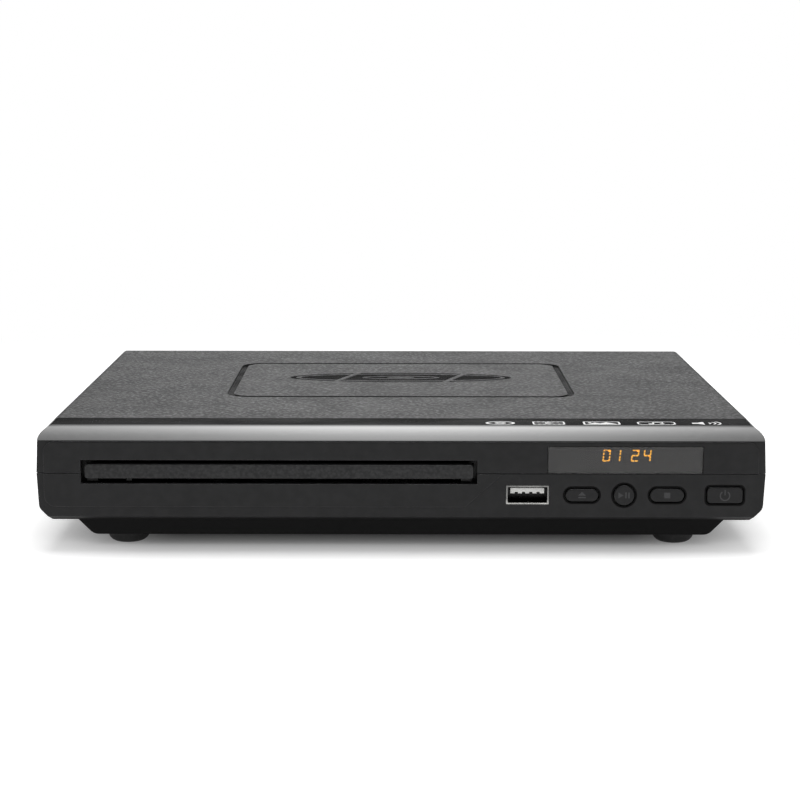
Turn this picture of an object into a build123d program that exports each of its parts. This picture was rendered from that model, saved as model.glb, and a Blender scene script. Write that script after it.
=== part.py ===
from build123d import *
from functools import cache
import math
import os

# A compact disc player with a motorised tray.
# Millimetres. X is the width, Y runs from the front (-Y) to the back, Z is up.
# The origin is on the floor under the middle of the body.
# Everything is shown at rest: tray in, traverse lowered, pickup at its inner stop.
# The body's width, depth and height follow from the disc, the loader and the controls.

# ---------------------------------------------------------------- shared clearances
WALL = 2.0
FIT = 0.1  # seated pieces that don't move
RUN_GAP = 0.06  # radial play of everything that turns
TIER_GAP = 0.2  # between two gears, or a gear and the tray, one above the other

# ---------------------------------------------------------------- heights of the underside
PEDESTAL_Z = 4.7
SHELF_Z = 10.0  # underside beside the pedestal
FACE_BOTTOM_Z = 12.25
FIELD_BOTTOM_Z = 14.65
CONTROL_Z = 18.7  # middle of the socket and all buttons
FLOOR = PEDESTAL_Z + WALL
SHELF_FLOOR = SHELF_Z + WALL

# ---------------------------------------------------------------- gears
RACK_MODULE = 1.0
PINION_TEETH = 21
TRAY_TURNS = 2
RACK_SPARE_TEETH = 2  # beyond the travel, at each end
WHEEL_MODULE = 0.8
WHEEL_TEETH = 43
SMALL_TEETH = 12
SLIDER_TEETH = 5
BACKLASH = 0.22  # share of the module left free on each flank pair
ADDENDUM = 0.85
DEDENDUM = 1.2
PRESSURE = math.radians(20)
RACK_PITCH = math.pi * RACK_MODULE
PINION_R = RACK_MODULE * PINION_TEETH / 2
WHEEL_R = WHEEL_MODULE * WHEEL_TEETH / 2
SMALL_R = WHEEL_MODULE * SMALL_TEETH / 2
TRAY_TRAVEL = TRAY_TURNS * 2 * math.pi * PINION_R
RACK_TEETH = round(TRAY_TRAVEL / RACK_PITCH) + 2 * RACK_SPARE_TEETH
SECTOR_HALF_BLANK = 66.0  # degrees without teeth, each side of the slider
PULLEY_R = 9.8
MOTOR_PULLEY_R = 3.5
BELT_R = 0.6
GROOVE_SINK = 0.75
POST_R = 2.0
DECK_T = 1.8
DECK_LOW = FLOOR + 6.3
DECK_Z = (DECK_LOW, DECK_LOW + DECK_T)
SECTOR_LOW = DECK_Z[1] + 0.3
SECTOR_Z = (SECTOR_LOW, SECTOR_LOW + 2.0)
WHEEL_LOW = SECTOR_Z[1] + TIER_GAP
WHEEL_Z = (WHEEL_LOW, WHEEL_LOW + 1.8)
PULLEY_LOW = WHEEL_Z[1] + 0.6
PULLEY_Z = (PULLEY_LOW, PULLEY_LOW + 2.8)

# ---------------------------------------------------------------- disc and tray
DISC_R = 60.0
TRAY_RIM = 3.5
TRAY_W = 2 * (DISC_R + TRAY_RIM)
TRAY_BOTTOM = PULLEY_Z[1] + TIER_GAP
TRAY_FLOOR = (TRAY_BOTTOM + 2.0, TRAY_BOTTOM + 3.1)
TRAY_TOP = TRAY_BOTTOM + 4.9
PINION_Z = (WHEEL_Z[1] + TIER_GAP, TRAY_BOTTOM + 1.7)
TRAY_RAIL_W = 3.5
RECESS_GAP = 0.6
SMALL_DISC_R = 41.0
SMALL_SINK = 0.5
WINDOW_SLOT_W = 36.0
SPINDLE_HOLE_R = 17.0
FINGER_R = 9.0
LIFT_HOLLOW_R = 11.0  # finger hollows behind the disc
RACK_W = 3.6
DOOR_T = 3.2
DOOR_R = 1.0
DOOR_REVEAL = 0.2  # door face behind the front plane
DOOR_TAB_X = 45.0
DOOR_TAB_HALF_W = 6.0

# ---------------------------------------------------------------- loader frame
FRAME_WALL = 2.0
TRAY_SIDE_GAP = 0.8
FRAME_HALF_W = TRAY_W / 2 + TRAY_SIDE_GAP + FRAME_WALL
DRIVE_X = TRAY_W / 2 - 25.5  # from the loader's middle
DRIVE_INSET = 16.0  # from the frame's front to the drive gear's axis
MOTOR_INSET = 14.0
RACK_REACH = math.ceil((RACK_TEETH - RACK_SPARE_TEETH) * RACK_PITCH)
BACK_STOP = 4.0  # frame behind the tray
LOADER_LENGTH = DRIVE_INSET + RACK_REACH + BACK_STOP
MOTOR_X = -22.0
MOTOR_R = 10.5
MOTOR_Z = (FLOOR + 0.5, DECK_Z[1] + 2.1)
LEDGE_T = 1.2
HOOK_T = 1.3
HOOK_L = 9.0
FRAME_TOP = TRAY_TOP + 2.0
FRAME_RIBS = 8
RIB_T = 1.4
SCREW_R = 1.2
HEAD_R = 2.4
HEAD_T = 1.5
BRIDGE_T = 1.2
BRIDGE_LIFT = 0.6
BRIDGE_HALF_D = 18.0
BRIDGE_HOLE_R = 10.0
CLAMPER_R = 13.0
CLAMPER_BOTTOM = TRAY_TOP + 0.4

# ---------------------------------------------------------------- control panel, right of the loader
# openings from left to right: width, height
USB_W = 14.3
USB_H = 6.5
EJECT_SIZE = (11.5, 4.9)
PLAY_SIZE = (7.5, 7.5)
STOP_SIZE = (11.9, 5.1)
POWER_SIZE = (12.4, 6.0)
POWER_R = 1.6
PANEL_SIZES = ((USB_W, USB_H), EJECT_SIZE, PLAY_SIZE, STOP_SIZE, POWER_SIZE)
PANEL_GAPS = (8.4, 5.05, 4.4, 4.5, 6.9, 7.05)  # before, between and after the openings
PANEL_W = sum(PANEL_GAPS) + sum(size[0] for size in PANEL_SIZES)
WINDOW_OVERLAP = 0.5  # over the USB opening's right end
WINDOW_REACH = 5.45  # beyond the stop button
WINDOW_FLANGE = 1.2
DIGITS = 4
CELL_HALF_W = 2.6
USB_SHELL_T = 0.5
TONGUE_W = 11.1
TONGUE_T = 1.84
TONGUE_LIFT = 0.3
CONTACT_PITCH = 2.4
CONTACT_HALF_W = 0.55
CONTACT_L = 3.6
BUTTON_GAP = 0.35
BUTTON_PROUD = 0.3
BUTTON_TRAVEL = 0.6
BUTTON_FLANGE = 0.6
FLANGE_T = 0.8
STEM_R = 1.3
SWITCH_HALF_W = 3.0
SWITCH_T = 2.1
PLUNGER_R = 1.6
PLUNGER_T = 0.6
PLUNGER_GAP = 0.1

# ---------------------------------------------------------------- housing
SIDE_ROOM = 13.5  # left of the loader
FRONT_ROOM = 7.0
BACK_ROOM = 34.0
OVER_FRAME = 8.4
BODY_W = SIDE_ROOM + 2 * FRAME_HALF_W + PANEL_W
BODY_D = FRONT_ROOM + LOADER_LENGTH + BACK_ROOM
BODY_H = FRAME_TOP + OVER_FRAME + WALL
HALF_W = BODY_W / 2
HALF_D = BODY_D / 2
SEAM_Z = TRAY_BOTTOM + 3.2  # parting line of the two shells
SEAM_GAP = 0.3
SIDE_DRAFT = 0.6
EDGE_R = 3.0  # long top edges
FIELD_PROUD = 0.5  # raised field of the front
FIELD_MARGIN = 2.4
FIELD_TOP_Z = BODY_H - 3.5
FIELD_R = 3.8
SHELF_HALF_W = HALF_W - 4.7
PEDESTAL_HALF_W = HALF_W - 12.7
PEDESTAL_FRONT_INSET = 3.5
PEDESTAL_R = 4.0
STRIP_DEPTH = 26.0  # gloss strip, front to back
NOSE_RUN = 13.0  # rounded front edge of the strip: depth
NOSE_DROP = 4.0  # and height
STRIP_T = 1.4
STRIP_LIP = 1.7
STRIP_GAP = 0.08
BOSS_R = 3.0
CASE_SCREW_R = 1.3
CASE_SCREW_X = HALF_W - 8.0
CASE_SCREW_Y = HALF_D - 22.0
FOOT_X = HALF_W - 28.0
FOOT_Y = HALF_D - 16.0
FOOT_R = 7.0
FOOT_SEAT = 0.6
SIDE_VENT_COUNT = 3  # small slots beside the pedestal, at the front
SIDE_VENT_PITCH = 2.6
SIDE_VENT = (1.3, 6.0)  # width, length
SIDE_VENT_INSET = 6.0
FLOOR_VENT_COUNT = 9  # slots under the main board, in two rows
FLOOR_VENT_PITCH = 6.0
FLOOR_VENT = (2.4, 26.0)
FLOOR_VENT_X = 12.0  # from the main board's front left corner
FLOOR_VENT_Y = (20.0, 58.0)

# ---------------------------------------------------------------- top decoration
GROOVE_SIDE = 56.0  # from the groove to the body's sides, front and back
GROOVE_FRONT = 72.1
GROOVE_BACK = 38.9
GROOVE_W = BODY_W - 2 * GROOVE_SIDE
GROOVE_D = BODY_D - GROOVE_FRONT - GROOVE_BACK
GROOVE_Y = (GROOVE_FRONT - GROOVE_BACK) / 2
GROOVE_WIDTH = 2.5
GROOVE_DEPTH = 0.6
GROOVE_R = 9.0
MOTIF_Y = GROOVE_Y + 4.6
MOTIF_DEPTH = 0.6
MOTIF_SINK = 0.1
MOTIF_SIZE = (43.0, 12.4)  # half width, half depth
RIM_W = 2.4
RIM_GAP = 1.6
RING_HOLE = (15.0, 4.3)
HUB_HOLE = (5.2, 1.3)
GLINT_X = 20.0
GLINT_W = 2.2
GLINT_LEAN = 5.0

# ---------------------------------------------------------------- front openings
FACE_Y = -HALF_D + FIELD_PROUD
INNER_FRONT = FACE_Y + WALL
INNER_BACK = HALF_D - WALL
INNER_HALF_W = HALF_W - WALL - SIDE_DRAFT / 2
COVER_LOW = SEAM_Z + SEAM_GAP / 2
TUB_HIGH = SEAM_Z - SEAM_GAP / 2
CEILING = BODY_H - WALL
LOADER_X = -HALF_W + SIDE_ROOM + FRAME_HALF_W  # middle of the disc loader
PANEL_X = LOADER_X + FRAME_HALF_W
SLOT_W = TRAY_W + 3.5
SLOT_Z = (TRAY_BOTTOM - 0.3, TRAY_TOP + 2.75)
DOOR_W = TRAY_W + 1.0
DOOR_Z = (SLOT_Z[0] + 1.65, SLOT_Z[1] - 1.55)
FIELD_RUNOUT_X = (PANEL_X - 5.1, PANEL_X + 7.4)  # where the lower field ends: at its foot, at the seam


def panel_x(index):
    """Middle X of an opening of the control panel."""
    before = sum(PANEL_GAPS[: index + 1]) + sum(size[0] for size in PANEL_SIZES[:index])
    return PANEL_X + before + PANEL_SIZES[index][0] / 2


USB_X = panel_x(0)
# each button: middle X, opening width, opening height
EJECT = (panel_x(1), *EJECT_SIZE)
PLAY = (panel_x(2), *PLAY_SIZE)
STOP = (panel_x(3), *STOP_SIZE)
POWER = (panel_x(4), *POWER_SIZE)
WINDOW_X = (USB_X + USB_W / 2 - WINDOW_OVERLAP, STOP[0] + STOP[1] / 2 + WINDOW_REACH)
WINDOW_TOP_Z = BODY_H - 5.1

# ---------------------------------------------------------------- places in the loader
FRAME_FRONT = -HALF_D + FRONT_ROOM
FRAME_BACK = FRAME_FRONT + LOADER_LENGTH
DRIVE_Y = FRAME_FRONT + DRIVE_INSET
MOTOR_Y = FRAME_FRONT + MOTOR_INSET
TRAY_BACK = DRIVE_Y + RACK_REACH
FRAME_SCREW_X = FRAME_HALF_W - 8.8
FRAME_SCREW_Y = (FRAME_FRONT + 6.5, FRAME_BACK - 7.0)
GEAR_X = LOADER_X + DRIVE_X
PULLEY_X = GEAR_X - WHEEL_R - SMALL_R
BELT_X = LOADER_X + MOTOR_X
RACK_X = GEAR_X + PINION_R

# ---------------------------------------------------------------- lifting traverse
WELL_FRONT = DRIVE_Y + WHEEL_R + 1.3
SPINDLE_Y = WELL_FRONT + 30.5
SLED_HALF_W = 22.5
SLED_FRONT = 9.0  # from the lens to the sled's front edge
SLED_BACK = 9.5
SLED_TRAVEL = 33.0
LENS_FROM_SPINDLE = 24.0
LENS_Y = SPINDLE_Y + LENS_FROM_SPINDLE
LIFT_WALL = 2.4
ROD_R = 1.5
ROD_X = SLED_HALF_W - 2.5
LEAD_R = 1.5
GROMMET_R = 3.6
PLATE_OPEN_HALF_W = SLED_HALF_W + 2.0
PLATE_OPEN_Y = (LENS_Y - SLED_FRONT - 0.5, LENS_Y + SLED_BACK + SLED_TRAVEL + 1.0)
PLATE_HALF_W = PLATE_OPEN_HALF_W + 11.3
SCREW_X = -PLATE_OPEN_HALF_W - 1.7
LIFT_HALF_W = PLATE_HALF_W + 0.8 + LIFT_WALL
WELL_HALF_W = LIFT_HALF_W + 4.0
LIFT_FRONT = WELL_FRONT + 4.0
PLATE_Y = (LIFT_FRONT + 4.5, PLATE_OPEN_Y[1] + 3.5)
LIFT_Y = (LIFT_FRONT, PLATE_Y[1] + 5.0)
WELL_Y = (WELL_FRONT, LIFT_Y[1] + 1.5)
GROMMET_X = PLATE_HALF_W - 3.8
GROMMET_Y = (PLATE_Y[0] + 4.5, PLATE_Y[1] - 7.5)
TRAY_SLOT_END = LIFT_Y[1] - 2.0
PIVOT_Y = LIFT_Y[1] - 6.0
PIVOT_Z = DECK_Z[1] + 3.2
PIVOT_R = 2.0
DISC_LIFT = 5.2  # at the spindle
LIFT_ANGLE = math.degrees(math.asin(DISC_LIFT / (PIVOT_Y - SPINDLE_Y)))
LIFT_Z = (DECK_Z[1], DECK_Z[1] + 4.6)
PIN_R = 1.5
PIN_X = 21.0
PIN_Z = LIFT_Z[0] + 2.7
PIN_L = 3.7
PIN_DROP = (PIVOT_Y - LIFT_Y[0] + PIN_L / 2) * math.sin(math.radians(LIFT_ANGLE))
SLIDER_TRAVEL = 14.0
SLIDER_T = 2.2
SLIDER_Y = WELL_FRONT + 0.3
SLIDER_PLATE_T = 1.8
SLIDER_EDGE = 1.6
SLIDER_Z = (FLOOR + 0.5, TRAY_BOTTOM - 1.9)
SLOT_GAP = 0.4
SLOT_DWELL = 3.0
PLATE_T = 1.2
PLATE_LOW = LIFT_Z[0] + 2.6
PLATE_Z = (PLATE_LOW, PLATE_LOW + PLATE_T)
SPINDLE_MOTOR_R = 10.5
DISC_SEAT_Z = TRAY_FLOOR[1] + 0.8
TURNTABLE_R = 13.5
CONE_R = 7.4
CONE_H = 2.3
ROD_Z = PLATE_Z[1] + 1.6
SCREW_Z = PLATE_Z[1] + 1.4
SLED_Z = (PLATE_Z[0] - 1.0, PLATE_Z[1] + 4.0)
LENS_Z = DISC_SEAT_Z - 1.4

# ---------------------------------------------------------------- electronics
BOARD_T = 1.5
FRONT_BOARD_X = (PANEL_X + 1.3, HALF_W - 5.0)
FRONT_BOARD_Z = (SHELF_FLOOR + 1.6, WINDOW_TOP_Z - 0.1)
FRONT_BOARD_Y = -HALF_D + 7.5
BOARD_Z = SHELF_FLOOR + 1.2
BOARD_TOP = BOARD_Z + BOARD_T
MAIN_X = (PANEL_X + 9.9, HALF_W - 12.0)
MAIN_Y = (HALF_D - 124.0, HALF_D - 20.0)
# on the main board, from its front left corner: x, y, width, depth, height
CHIPS = (
    (30.0, 48.0, 24.0, 24.0, 1.8),
    (56.0, 48.0, 11.0, 18.0, 1.4),
    (30.0, 20.0, 8.0, 10.0, 1.6),
    (52.0, 18.0, 14.0, 9.0, 2.0),
)
# x, y, radius, height
MAIN_CANS = (
    (10.0, 26.0, 3.2, 9.0),
    (10.0, 36.0, 3.2, 9.0),
    (66.0, 26.0, 4.0, 11.0),
    (62.0, 72.0, 2.5, 7.0),
    (54.0, 72.0, 2.5, 7.0),
    (14.0, 74.0, 4.0, 11.0),
)
CABLE_X = 30.0  # flat cable's left edge, from the same corner
CABLE_W = 16.0
CABLE_T = 0.4
CABLE_RISE = 9.0
CABLE_FLAT = 6.0  # straight part behind the front board
CABLE_SLOPE = 8.0
CABLE_LAP = 3.0
INLET_X = -HALF_W + 28.0
INLET_W = 20.0
INLET_H = 12.0
INLET_CAVITY = (14.4, 8.2, 9.5)
POWER_X = (INLET_X + 18.0, PANEL_X - 0.1)
POWER_Y = (FRAME_BACK + 3.0, HALF_D - 5.0)
# on the power board, from the middle of its left end: x, y, radius, height
POWER_CANS = ((22.0, 0.0, 6.5, 19.0), (76.0, -4.0, 4.0, 12.0), (86.0, 4.0, 4.0, 12.0))
CORE_HALF_W = 9.0
CORE_HALF_D = 4.0
CORE_WALL = 3.0
CORE_H = 14.0
BOBBIN_FOOT = 2.0
JACK_R = 4.15
COLLAR_R = 4.5
JACK_NECK = 0.3  # width and depth of the groove between collar and barrel
JACK_HOLE_R = 1.7
JACK_SINK = 0.5  # barrels end this far inside the back wall's outer face
JACK_PITCH = 14.0
JACK_COUNT = 3
JACK_HALF_W = 6.5  # moulded block, beyond the last barrel's middle
HDMI_W = 15.0
HDMI_H = 5.6
NICHE_D = 9.0
NICHE_LEFT_GAP = 3.5
NICHE_RIGHT_GAP = 4.5
SOCKET_GAP = 2.0
JACKS_W = (JACK_COUNT - 1) * JACK_PITCH + 2 * JACK_HALF_W
NICHE_W = NICHE_LEFT_GAP + HDMI_W + SOCKET_GAP + JACKS_W + NICHE_RIGHT_GAP
NICHE_RIGHT = HALF_W - 14.0
NICHE_X = (NICHE_RIGHT - NICHE_W, NICHE_RIGHT)
NICHE_Z = (SHELF_FLOOR + 1.5, SEAM_Z - 1.6)
HDMI_X = NICHE_X[0] + NICHE_LEFT_GAP + HDMI_W / 2
JACK_Z = (NICHE_Z[0] + NICHE_Z[1]) / 2


# ---------------------------------------------------------------- building blocks
def block(x, y, z):
    """A box between three pairs of limits."""
    size = Box(x[1] - x[0], y[1] - y[0], z[1] - z[0])
    return Pos((x[0] + x[1]) / 2, (y[0] + y[1]) / 2, (z[0] + z[1]) / 2) * size


def column(radius, x, y, z):
    """An upright cylinder between two heights."""
    return Pos(x, y, (z[0] + z[1]) / 2) * Cylinder(radius, z[1] - z[0])


def rod_y(radius, x, z, y):
    """A cylinder along Y."""
    return Pos(x, (y[0] + y[1]) / 2, z) * Rot(90, 0, 0) * Cylinder(radius, y[1] - y[0])


def rod_x(radius, y, z, x):
    """A cylinder along X."""
    return Pos((x[0] + x[1]) / 2, y, z) * Rot(0, 90, 0) * Cylinder(radius, x[1] - x[0])


def upright(sketch, z):
    """A plan outline raised between two heights."""
    return extrude(Plane.XY.offset(z[0]) * sketch, amount=z[1] - z[0], dir=(0, 0, 1))


def along_y(sketch, y):
    """A front-view outline, X and Z, run between two depths."""
    return extrude(Plane.XZ.offset(-y[0]) * sketch, amount=y[1] - y[0], dir=(0, 1, 0))


def along_x(sketch, x):
    """A side-view outline, Y and Z, run between two widths."""
    return extrude(Plane.YZ.offset(x[0]) * sketch, amount=x[1] - x[0], dir=(1, 0, 0))


def outline(*points):
    """A flat outline through the points given."""
    return Polygon(*points, align=None)


def rounded(points, corners, radius):
    """An outline with some of its corners, given by place in the list, rounded."""
    face = outline(*points)
    places = [Vector(*points[i], 0) for i in corners]
    picked = [min(face.vertices(), key=lambda v: (v.center() - place).length) for place in places]
    return fillet(picked, radius)


def spread(half):
    """A value to both sides of zero."""
    return (-half, half)


def at_loader(x):
    """Limits in X counted from the loader's middle."""
    return (LOADER_X + x[0], LOADER_X + x[1])


def lowered(shape):
    """Swings a piece of the traverse from its playing height down to its rest."""
    return shape.rotate(Axis((0, PIVOT_Y, PIVOT_Z), (1, 0, 0)), LIFT_ANGLE)


def pan_screw(radius, length, head_radius=HEAD_R, head=HEAD_T):
    """A screw with its head's seat at the origin, its shank pointing down."""
    shank = Pos(0, 0, -length / 2) * Cylinder(radius, length)
    top = Pos(0, 0, head / 2) * Cylinder(head_radius, head)
    return shank + fillet(top.edges().group_by(Axis.Z)[-1], head * 0.45)


# ---------------------------------------------------------------- teeth
def involute(angle):
    return math.tan(angle) - angle


def gear_outline(module, teeth, turned=0.0, kept=None):
    """An involute gear's outline with three points a flank.
    A tooth is centred on the X axis, then turned by some degrees. kept picks the teeth
    that are cut, from each one's direction in degrees."""
    pitch = module * teeth / 2
    base = pitch * math.cos(PRESSURE)
    root = pitch - DEDENDUM * module
    tip = pitch + ADDENDUM * module
    half = math.pi / (2 * teeth) - BACKLASH * module / (2 * pitch)

    def flank(radius):
        inside = max(radius, base)
        return half + involute(PRESSURE) - involute(math.acos(base / inside))

    points = []
    for tooth in range(teeth):
        middle = math.radians(turned) + 2 * math.pi * tooth / teeth
        direction = math.degrees(middle)
        if kept and not kept(direction):
            points.append((root * math.cos(middle), root * math.sin(middle)))
            continue
        for side, radii in ((-1, (root, pitch, tip)), (1, (tip, pitch, root))):
            for radius in radii:
                angle = middle + side * flank(radius)
                points.append((radius * math.cos(angle), radius * math.sin(angle)))
    return outline(*points)


def rack_outline(module, start, teeth, back):
    """A straight rack along X from start, teeth pointing to -Y, pitch line on Y = 0."""
    pitch = math.pi * module
    tip = (math.pi / 4 - BACKLASH / 2 - ADDENDUM * math.tan(PRESSURE)) * module
    foot = (math.pi / 4 - BACKLASH / 2 + DEDENDUM * math.tan(PRESSURE)) * module
    points = [(start, back), (start, DEDENDUM * module)]
    for tooth in range(teeth):
        middle = start + (tooth + 0.5) * pitch
        points.append((middle - foot, DEDENDUM * module))
        points.append((middle - tip, -ADDENDUM * module))
        points.append((middle + tip, -ADDENDUM * module))
        points.append((middle + foot, DEDENDUM * module))
    end = start + teeth * pitch
    points += [(end, DEDENDUM * module), (end, back)]
    return outline(*points)


# ---------------------------------------------------------------- housing
def cover_body():
    """The whole upper half, solid, with the strip's rounded nose."""
    nose = (-HALF_D + NOSE_RUN, BODY_H - NOSE_DROP)
    edge = Polyline((HALF_D, COVER_LOW), (HALF_D, BODY_H), (nose[0], BODY_H))
    edge += EllipticalCenterArc(nose, NOSE_RUN, NOSE_DROP, start_angle=90, arc_size=90)
    edge += Polyline((-HALF_D, nose[1]), (-HALF_D, COVER_LOW), (HALF_D, COVER_LOW))
    side = make_face(edge)
    side = fillet(side.vertices().group_by(Axis.Y)[-1].sort_by(Axis.X)[-1], EDGE_R / 2)
    top_half_w = HALF_W - SIDE_DRAFT
    corners = ((-HALF_W, COVER_LOW), (HALF_W, COVER_LOW), (top_half_w, BODY_H), (-top_half_w, BODY_H))
    front = rounded(corners, (2, 3), EDGE_R)
    return along_x(side, spread(HALF_W)) & along_y(front, spread(HALF_D))


def strip_section(gap):
    """The strip's cross-section, or with a gap the bed that it lies in."""
    back = -HALF_D + STRIP_DEPTH + gap
    under = BODY_H - STRIP_T - gap
    lip = FIELD_TOP_Z + STRIP_GAP * 4 - gap
    heel = -HALF_D + NOSE_RUN - STRIP_LIP
    toe = FACE_Y + STRIP_LIP
    high = BODY_H + 1
    far = -HALF_D - 1
    return outline((back, under), (back, high), (far, high), (far, lip), (toe, lip), (heel, under))


def upper_field():
    """Raised field of the front above the seam, as a front view."""
    low = SEAM_Z - 1
    left = -HALF_W + FIELD_MARGIN
    right = HALF_W - FIELD_MARGIN
    corners = ((left, low), (right, low), (right, FIELD_TOP_Z), (left, FIELD_TOP_Z))
    return rounded(corners, (2, 3), FIELD_R)


def lower_field():
    """Raised field below the seam, round the tray slot, ending in a slanted curve."""
    left = -HALF_W + FIELD_MARGIN
    foot, top = FIELD_RUNOUT_X
    corners = ((left, SEAM_Z), (left, FIELD_BOTTOM_Z), (foot, FIELD_BOTTOM_Z), (top, SEAM_Z))
    return rounded(corners, (1, 2), FIELD_R)


def border(field, z):
    """What is cut away in front of the plain border round a raised field."""
    return block(spread(HALF_W + 1), (-HALF_D - 1, FACE_Y), z) - along_y(field, (-HALF_D - 2, FACE_Y + 1))


def tray_slot(z):
    return block(at_loader(spread(SLOT_W / 2)), (-HALF_D - 1, INNER_FRONT + 1), z)


def window_body():
    """Smoked lens: a plug flush with the raised field and a flange behind the wall."""
    low = COVER_LOW
    plug = block(WINDOW_X, (-HALF_D + FIT, INNER_FRONT), (low, WINDOW_TOP_Z))
    flange_x = (WINDOW_X[0] - WINDOW_FLANGE, WINDOW_X[1] + WINDOW_FLANGE)
    flange = block(flange_x, (INNER_FRONT, INNER_FRONT + 1), (low, WINDOW_TOP_Z - WINDOW_FLANGE))
    return plug + flange


def motif_outline():
    """A plain disc seen at a slant: a rim, a broad ring and a hub, split by two light gaps."""
    rim = Ellipse(*MOTIF_SIZE) - Ellipse(*(size - RIM_W for size in MOTIF_SIZE))
    ring = Ellipse(*(size - RIM_W - RIM_GAP for size in MOTIF_SIZE)) - Ellipse(*RING_HOLE)
    hub = Ellipse(*(size - RIM_GAP for size in RING_HOLE)) - Ellipse(*HUB_HOLE)
    shapes = rim + ring + hub
    reach = MOTIF_SIZE[1] + 1
    for side in (-1, 1):
        near = side * GLINT_X
        far = near + side * GLINT_W
        lean = GLINT_LEAN
        low = ((near - lean, -reach), (far - lean, -reach))
        high = ((far + lean, reach), (near + lean, reach))
        shapes -= outline(*low, *high)
    return Pos(0, MOTIF_Y) * shapes


def cover_cavity():
    """The hollow under the top, lower behind the gloss strip."""
    shoulder = -HALF_D + STRIP_DEPTH
    low = SEAM_Z - 1
    under_strip = CEILING - STRIP_T
    corners = (
        (INNER_FRONT, low),
        (INNER_FRONT, under_strip - 2.4),
        (INNER_FRONT + 4, under_strip - 0.4),
        (shoulder + 1, under_strip),
        (shoulder + 3, CEILING),
        (INNER_BACK, CEILING),
        (INNER_BACK, low),
    )
    return along_x(outline(*corners), spread(INNER_HALF_W))


def corner_bosses(radius, z):
    """Four posts at the case screws."""
    posts = [
        column(radius, x, y, z)
        for x in spread(CASE_SCREW_X)
        for y in spread(CASE_SCREW_Y)
    ]
    return Compound(posts)


def make_top_cover():
    cover = cover_body()
    cover -= along_x(strip_section(STRIP_GAP), spread(HALF_W + 1))
    cover -= border(upper_field(), (SEAM_Z - 1, FIELD_TOP_Z + 1))
    cover -= cover_cavity()
    ring = RectangleRounded(GROOVE_W, GROOVE_D, GROOVE_R)
    inside = (GROOVE_W - 2 * GROOVE_WIDTH, GROOVE_D - 2 * GROOVE_WIDTH)
    inner = RectangleRounded(*inside, GROOVE_R - GROOVE_WIDTH)
    cover -= upright(Pos(0, GROOVE_Y) * (ring - inner), (BODY_H - GROOVE_DEPTH, BODY_H + 1))
    cover -= upright(motif_outline(), (BODY_H - MOTIF_DEPTH - MOTIF_SINK, BODY_H + 1))
    cover -= tray_slot((SEAM_Z - 1, SLOT_Z[1]))
    lens = block(
        (WINDOW_X[0] - FIT, WINDOW_X[1] + FIT),
        (-HALF_D - 1, INNER_FRONT + 1),
        (SEAM_Z - 1, WINDOW_TOP_Z + FIT),
    )
    cover -= lens
    rebate_x = spread(INNER_HALF_W + WALL / 2)
    rebate_y = (INNER_FRONT - WALL / 2, INNER_BACK + WALL / 2)
    cover -= block(rebate_x, rebate_y, (SEAM_Z - 1, SEAM_Z + WALL))
    cover += corner_bosses(BOSS_R, (SEAM_Z + SEAM_GAP, CEILING + 0.5))
    cover -= corner_bosses(CASE_SCREW_R + 0.02, (SEAM_Z - 1, CEILING - 3))
    x, z = front_screw_places()[1]
    cover += rod_y(BOSS_R - 0.6, x, z, (INNER_FRONT - 0.5, FRONT_BOARD_Y))
    cover -= rod_y(SCREW_R + 0.02, x, z, (INNER_FRONT + 0.5, FRONT_BOARD_Y + 1))
    return cover


def make_gloss_strip():
    return cover_body() & along_x(strip_section(0), spread(HALF_W + 1))


def make_top_motif():
    return upright(motif_outline(), (BODY_H - MOTIF_DEPTH - MOTIF_SINK, BODY_H - MOTIF_SINK))


def tub_body():
    """The whole lower half, solid, with its chamfer and pedestal."""
    corners = (
        (-HALF_D, TUB_HIGH),
        (-HALF_D, FACE_BOTTOM_Z - FIELD_PROUD),
        (-HALF_D + FACE_BOTTOM_Z - SHELF_Z, SHELF_Z),
        (HALF_D - FACE_BOTTOM_Z + SHELF_Z, SHELF_Z),
        (HALF_D, FACE_BOTTOM_Z),
        (HALF_D, TUB_HIGH),
    )
    low_half_w = HALF_W - SIDE_DRAFT
    knee = SHELF_Z + low_half_w - SHELF_HALF_W
    front = (
        (-HALF_W, TUB_HIGH),
        (-low_half_w, knee),
        (-SHELF_HALF_W, SHELF_Z),
        (SHELF_HALF_W, SHELF_Z),
        (low_half_w, knee),
        (HALF_W, TUB_HIGH),
    )
    shell = along_x(outline(*corners), spread(HALF_W))
    shell &= along_y(rounded(front, (1, 4), EDGE_R), spread(HALF_D))
    return shell + pedestal(0)


def pedestal(inset):
    """Raised base: slanted ends with rounded feet, upright front and back."""
    half = PEDESTAL_HALF_W - inset * math.sqrt(2)
    low = PEDESTAL_Z + inset
    drop = SHELF_Z - low + inset
    front = (
        (-half, SHELF_Z + inset),
        (-half + drop, low),
        (half - drop, low),
        (half, SHELF_Z + inset),
    )
    depth = (-HALF_D + PEDESTAL_FRONT_INSET + inset, HALF_D - PEDESTAL_FRONT_INSET - inset)
    return along_y(rounded(front, (1, 2), PEDESTAL_R), depth)


def button_opening(button, grow, y):
    """A button's outline, stadium or rounded rectangle, run through a depth."""
    x, width, height = button
    radius = POWER_R if button is POWER else height / 2 - 0.01
    shape = RectangleRounded(width + 2 * grow, height + 2 * grow, radius + grow)
    return along_y(Pos(x, CONTROL_Z) * shape, y)


def vent_row(x, y, count, pitch, size):
    """Slots side by side along X, cut through the underside."""
    width, length = size
    slots = [
        block((x + i * pitch - width / 2, x + i * pitch + width / 2), (y, y + length), (0, SHELF_FLOOR + 1))
        for i in range(count)
    ]
    return Compound(slots)


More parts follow.
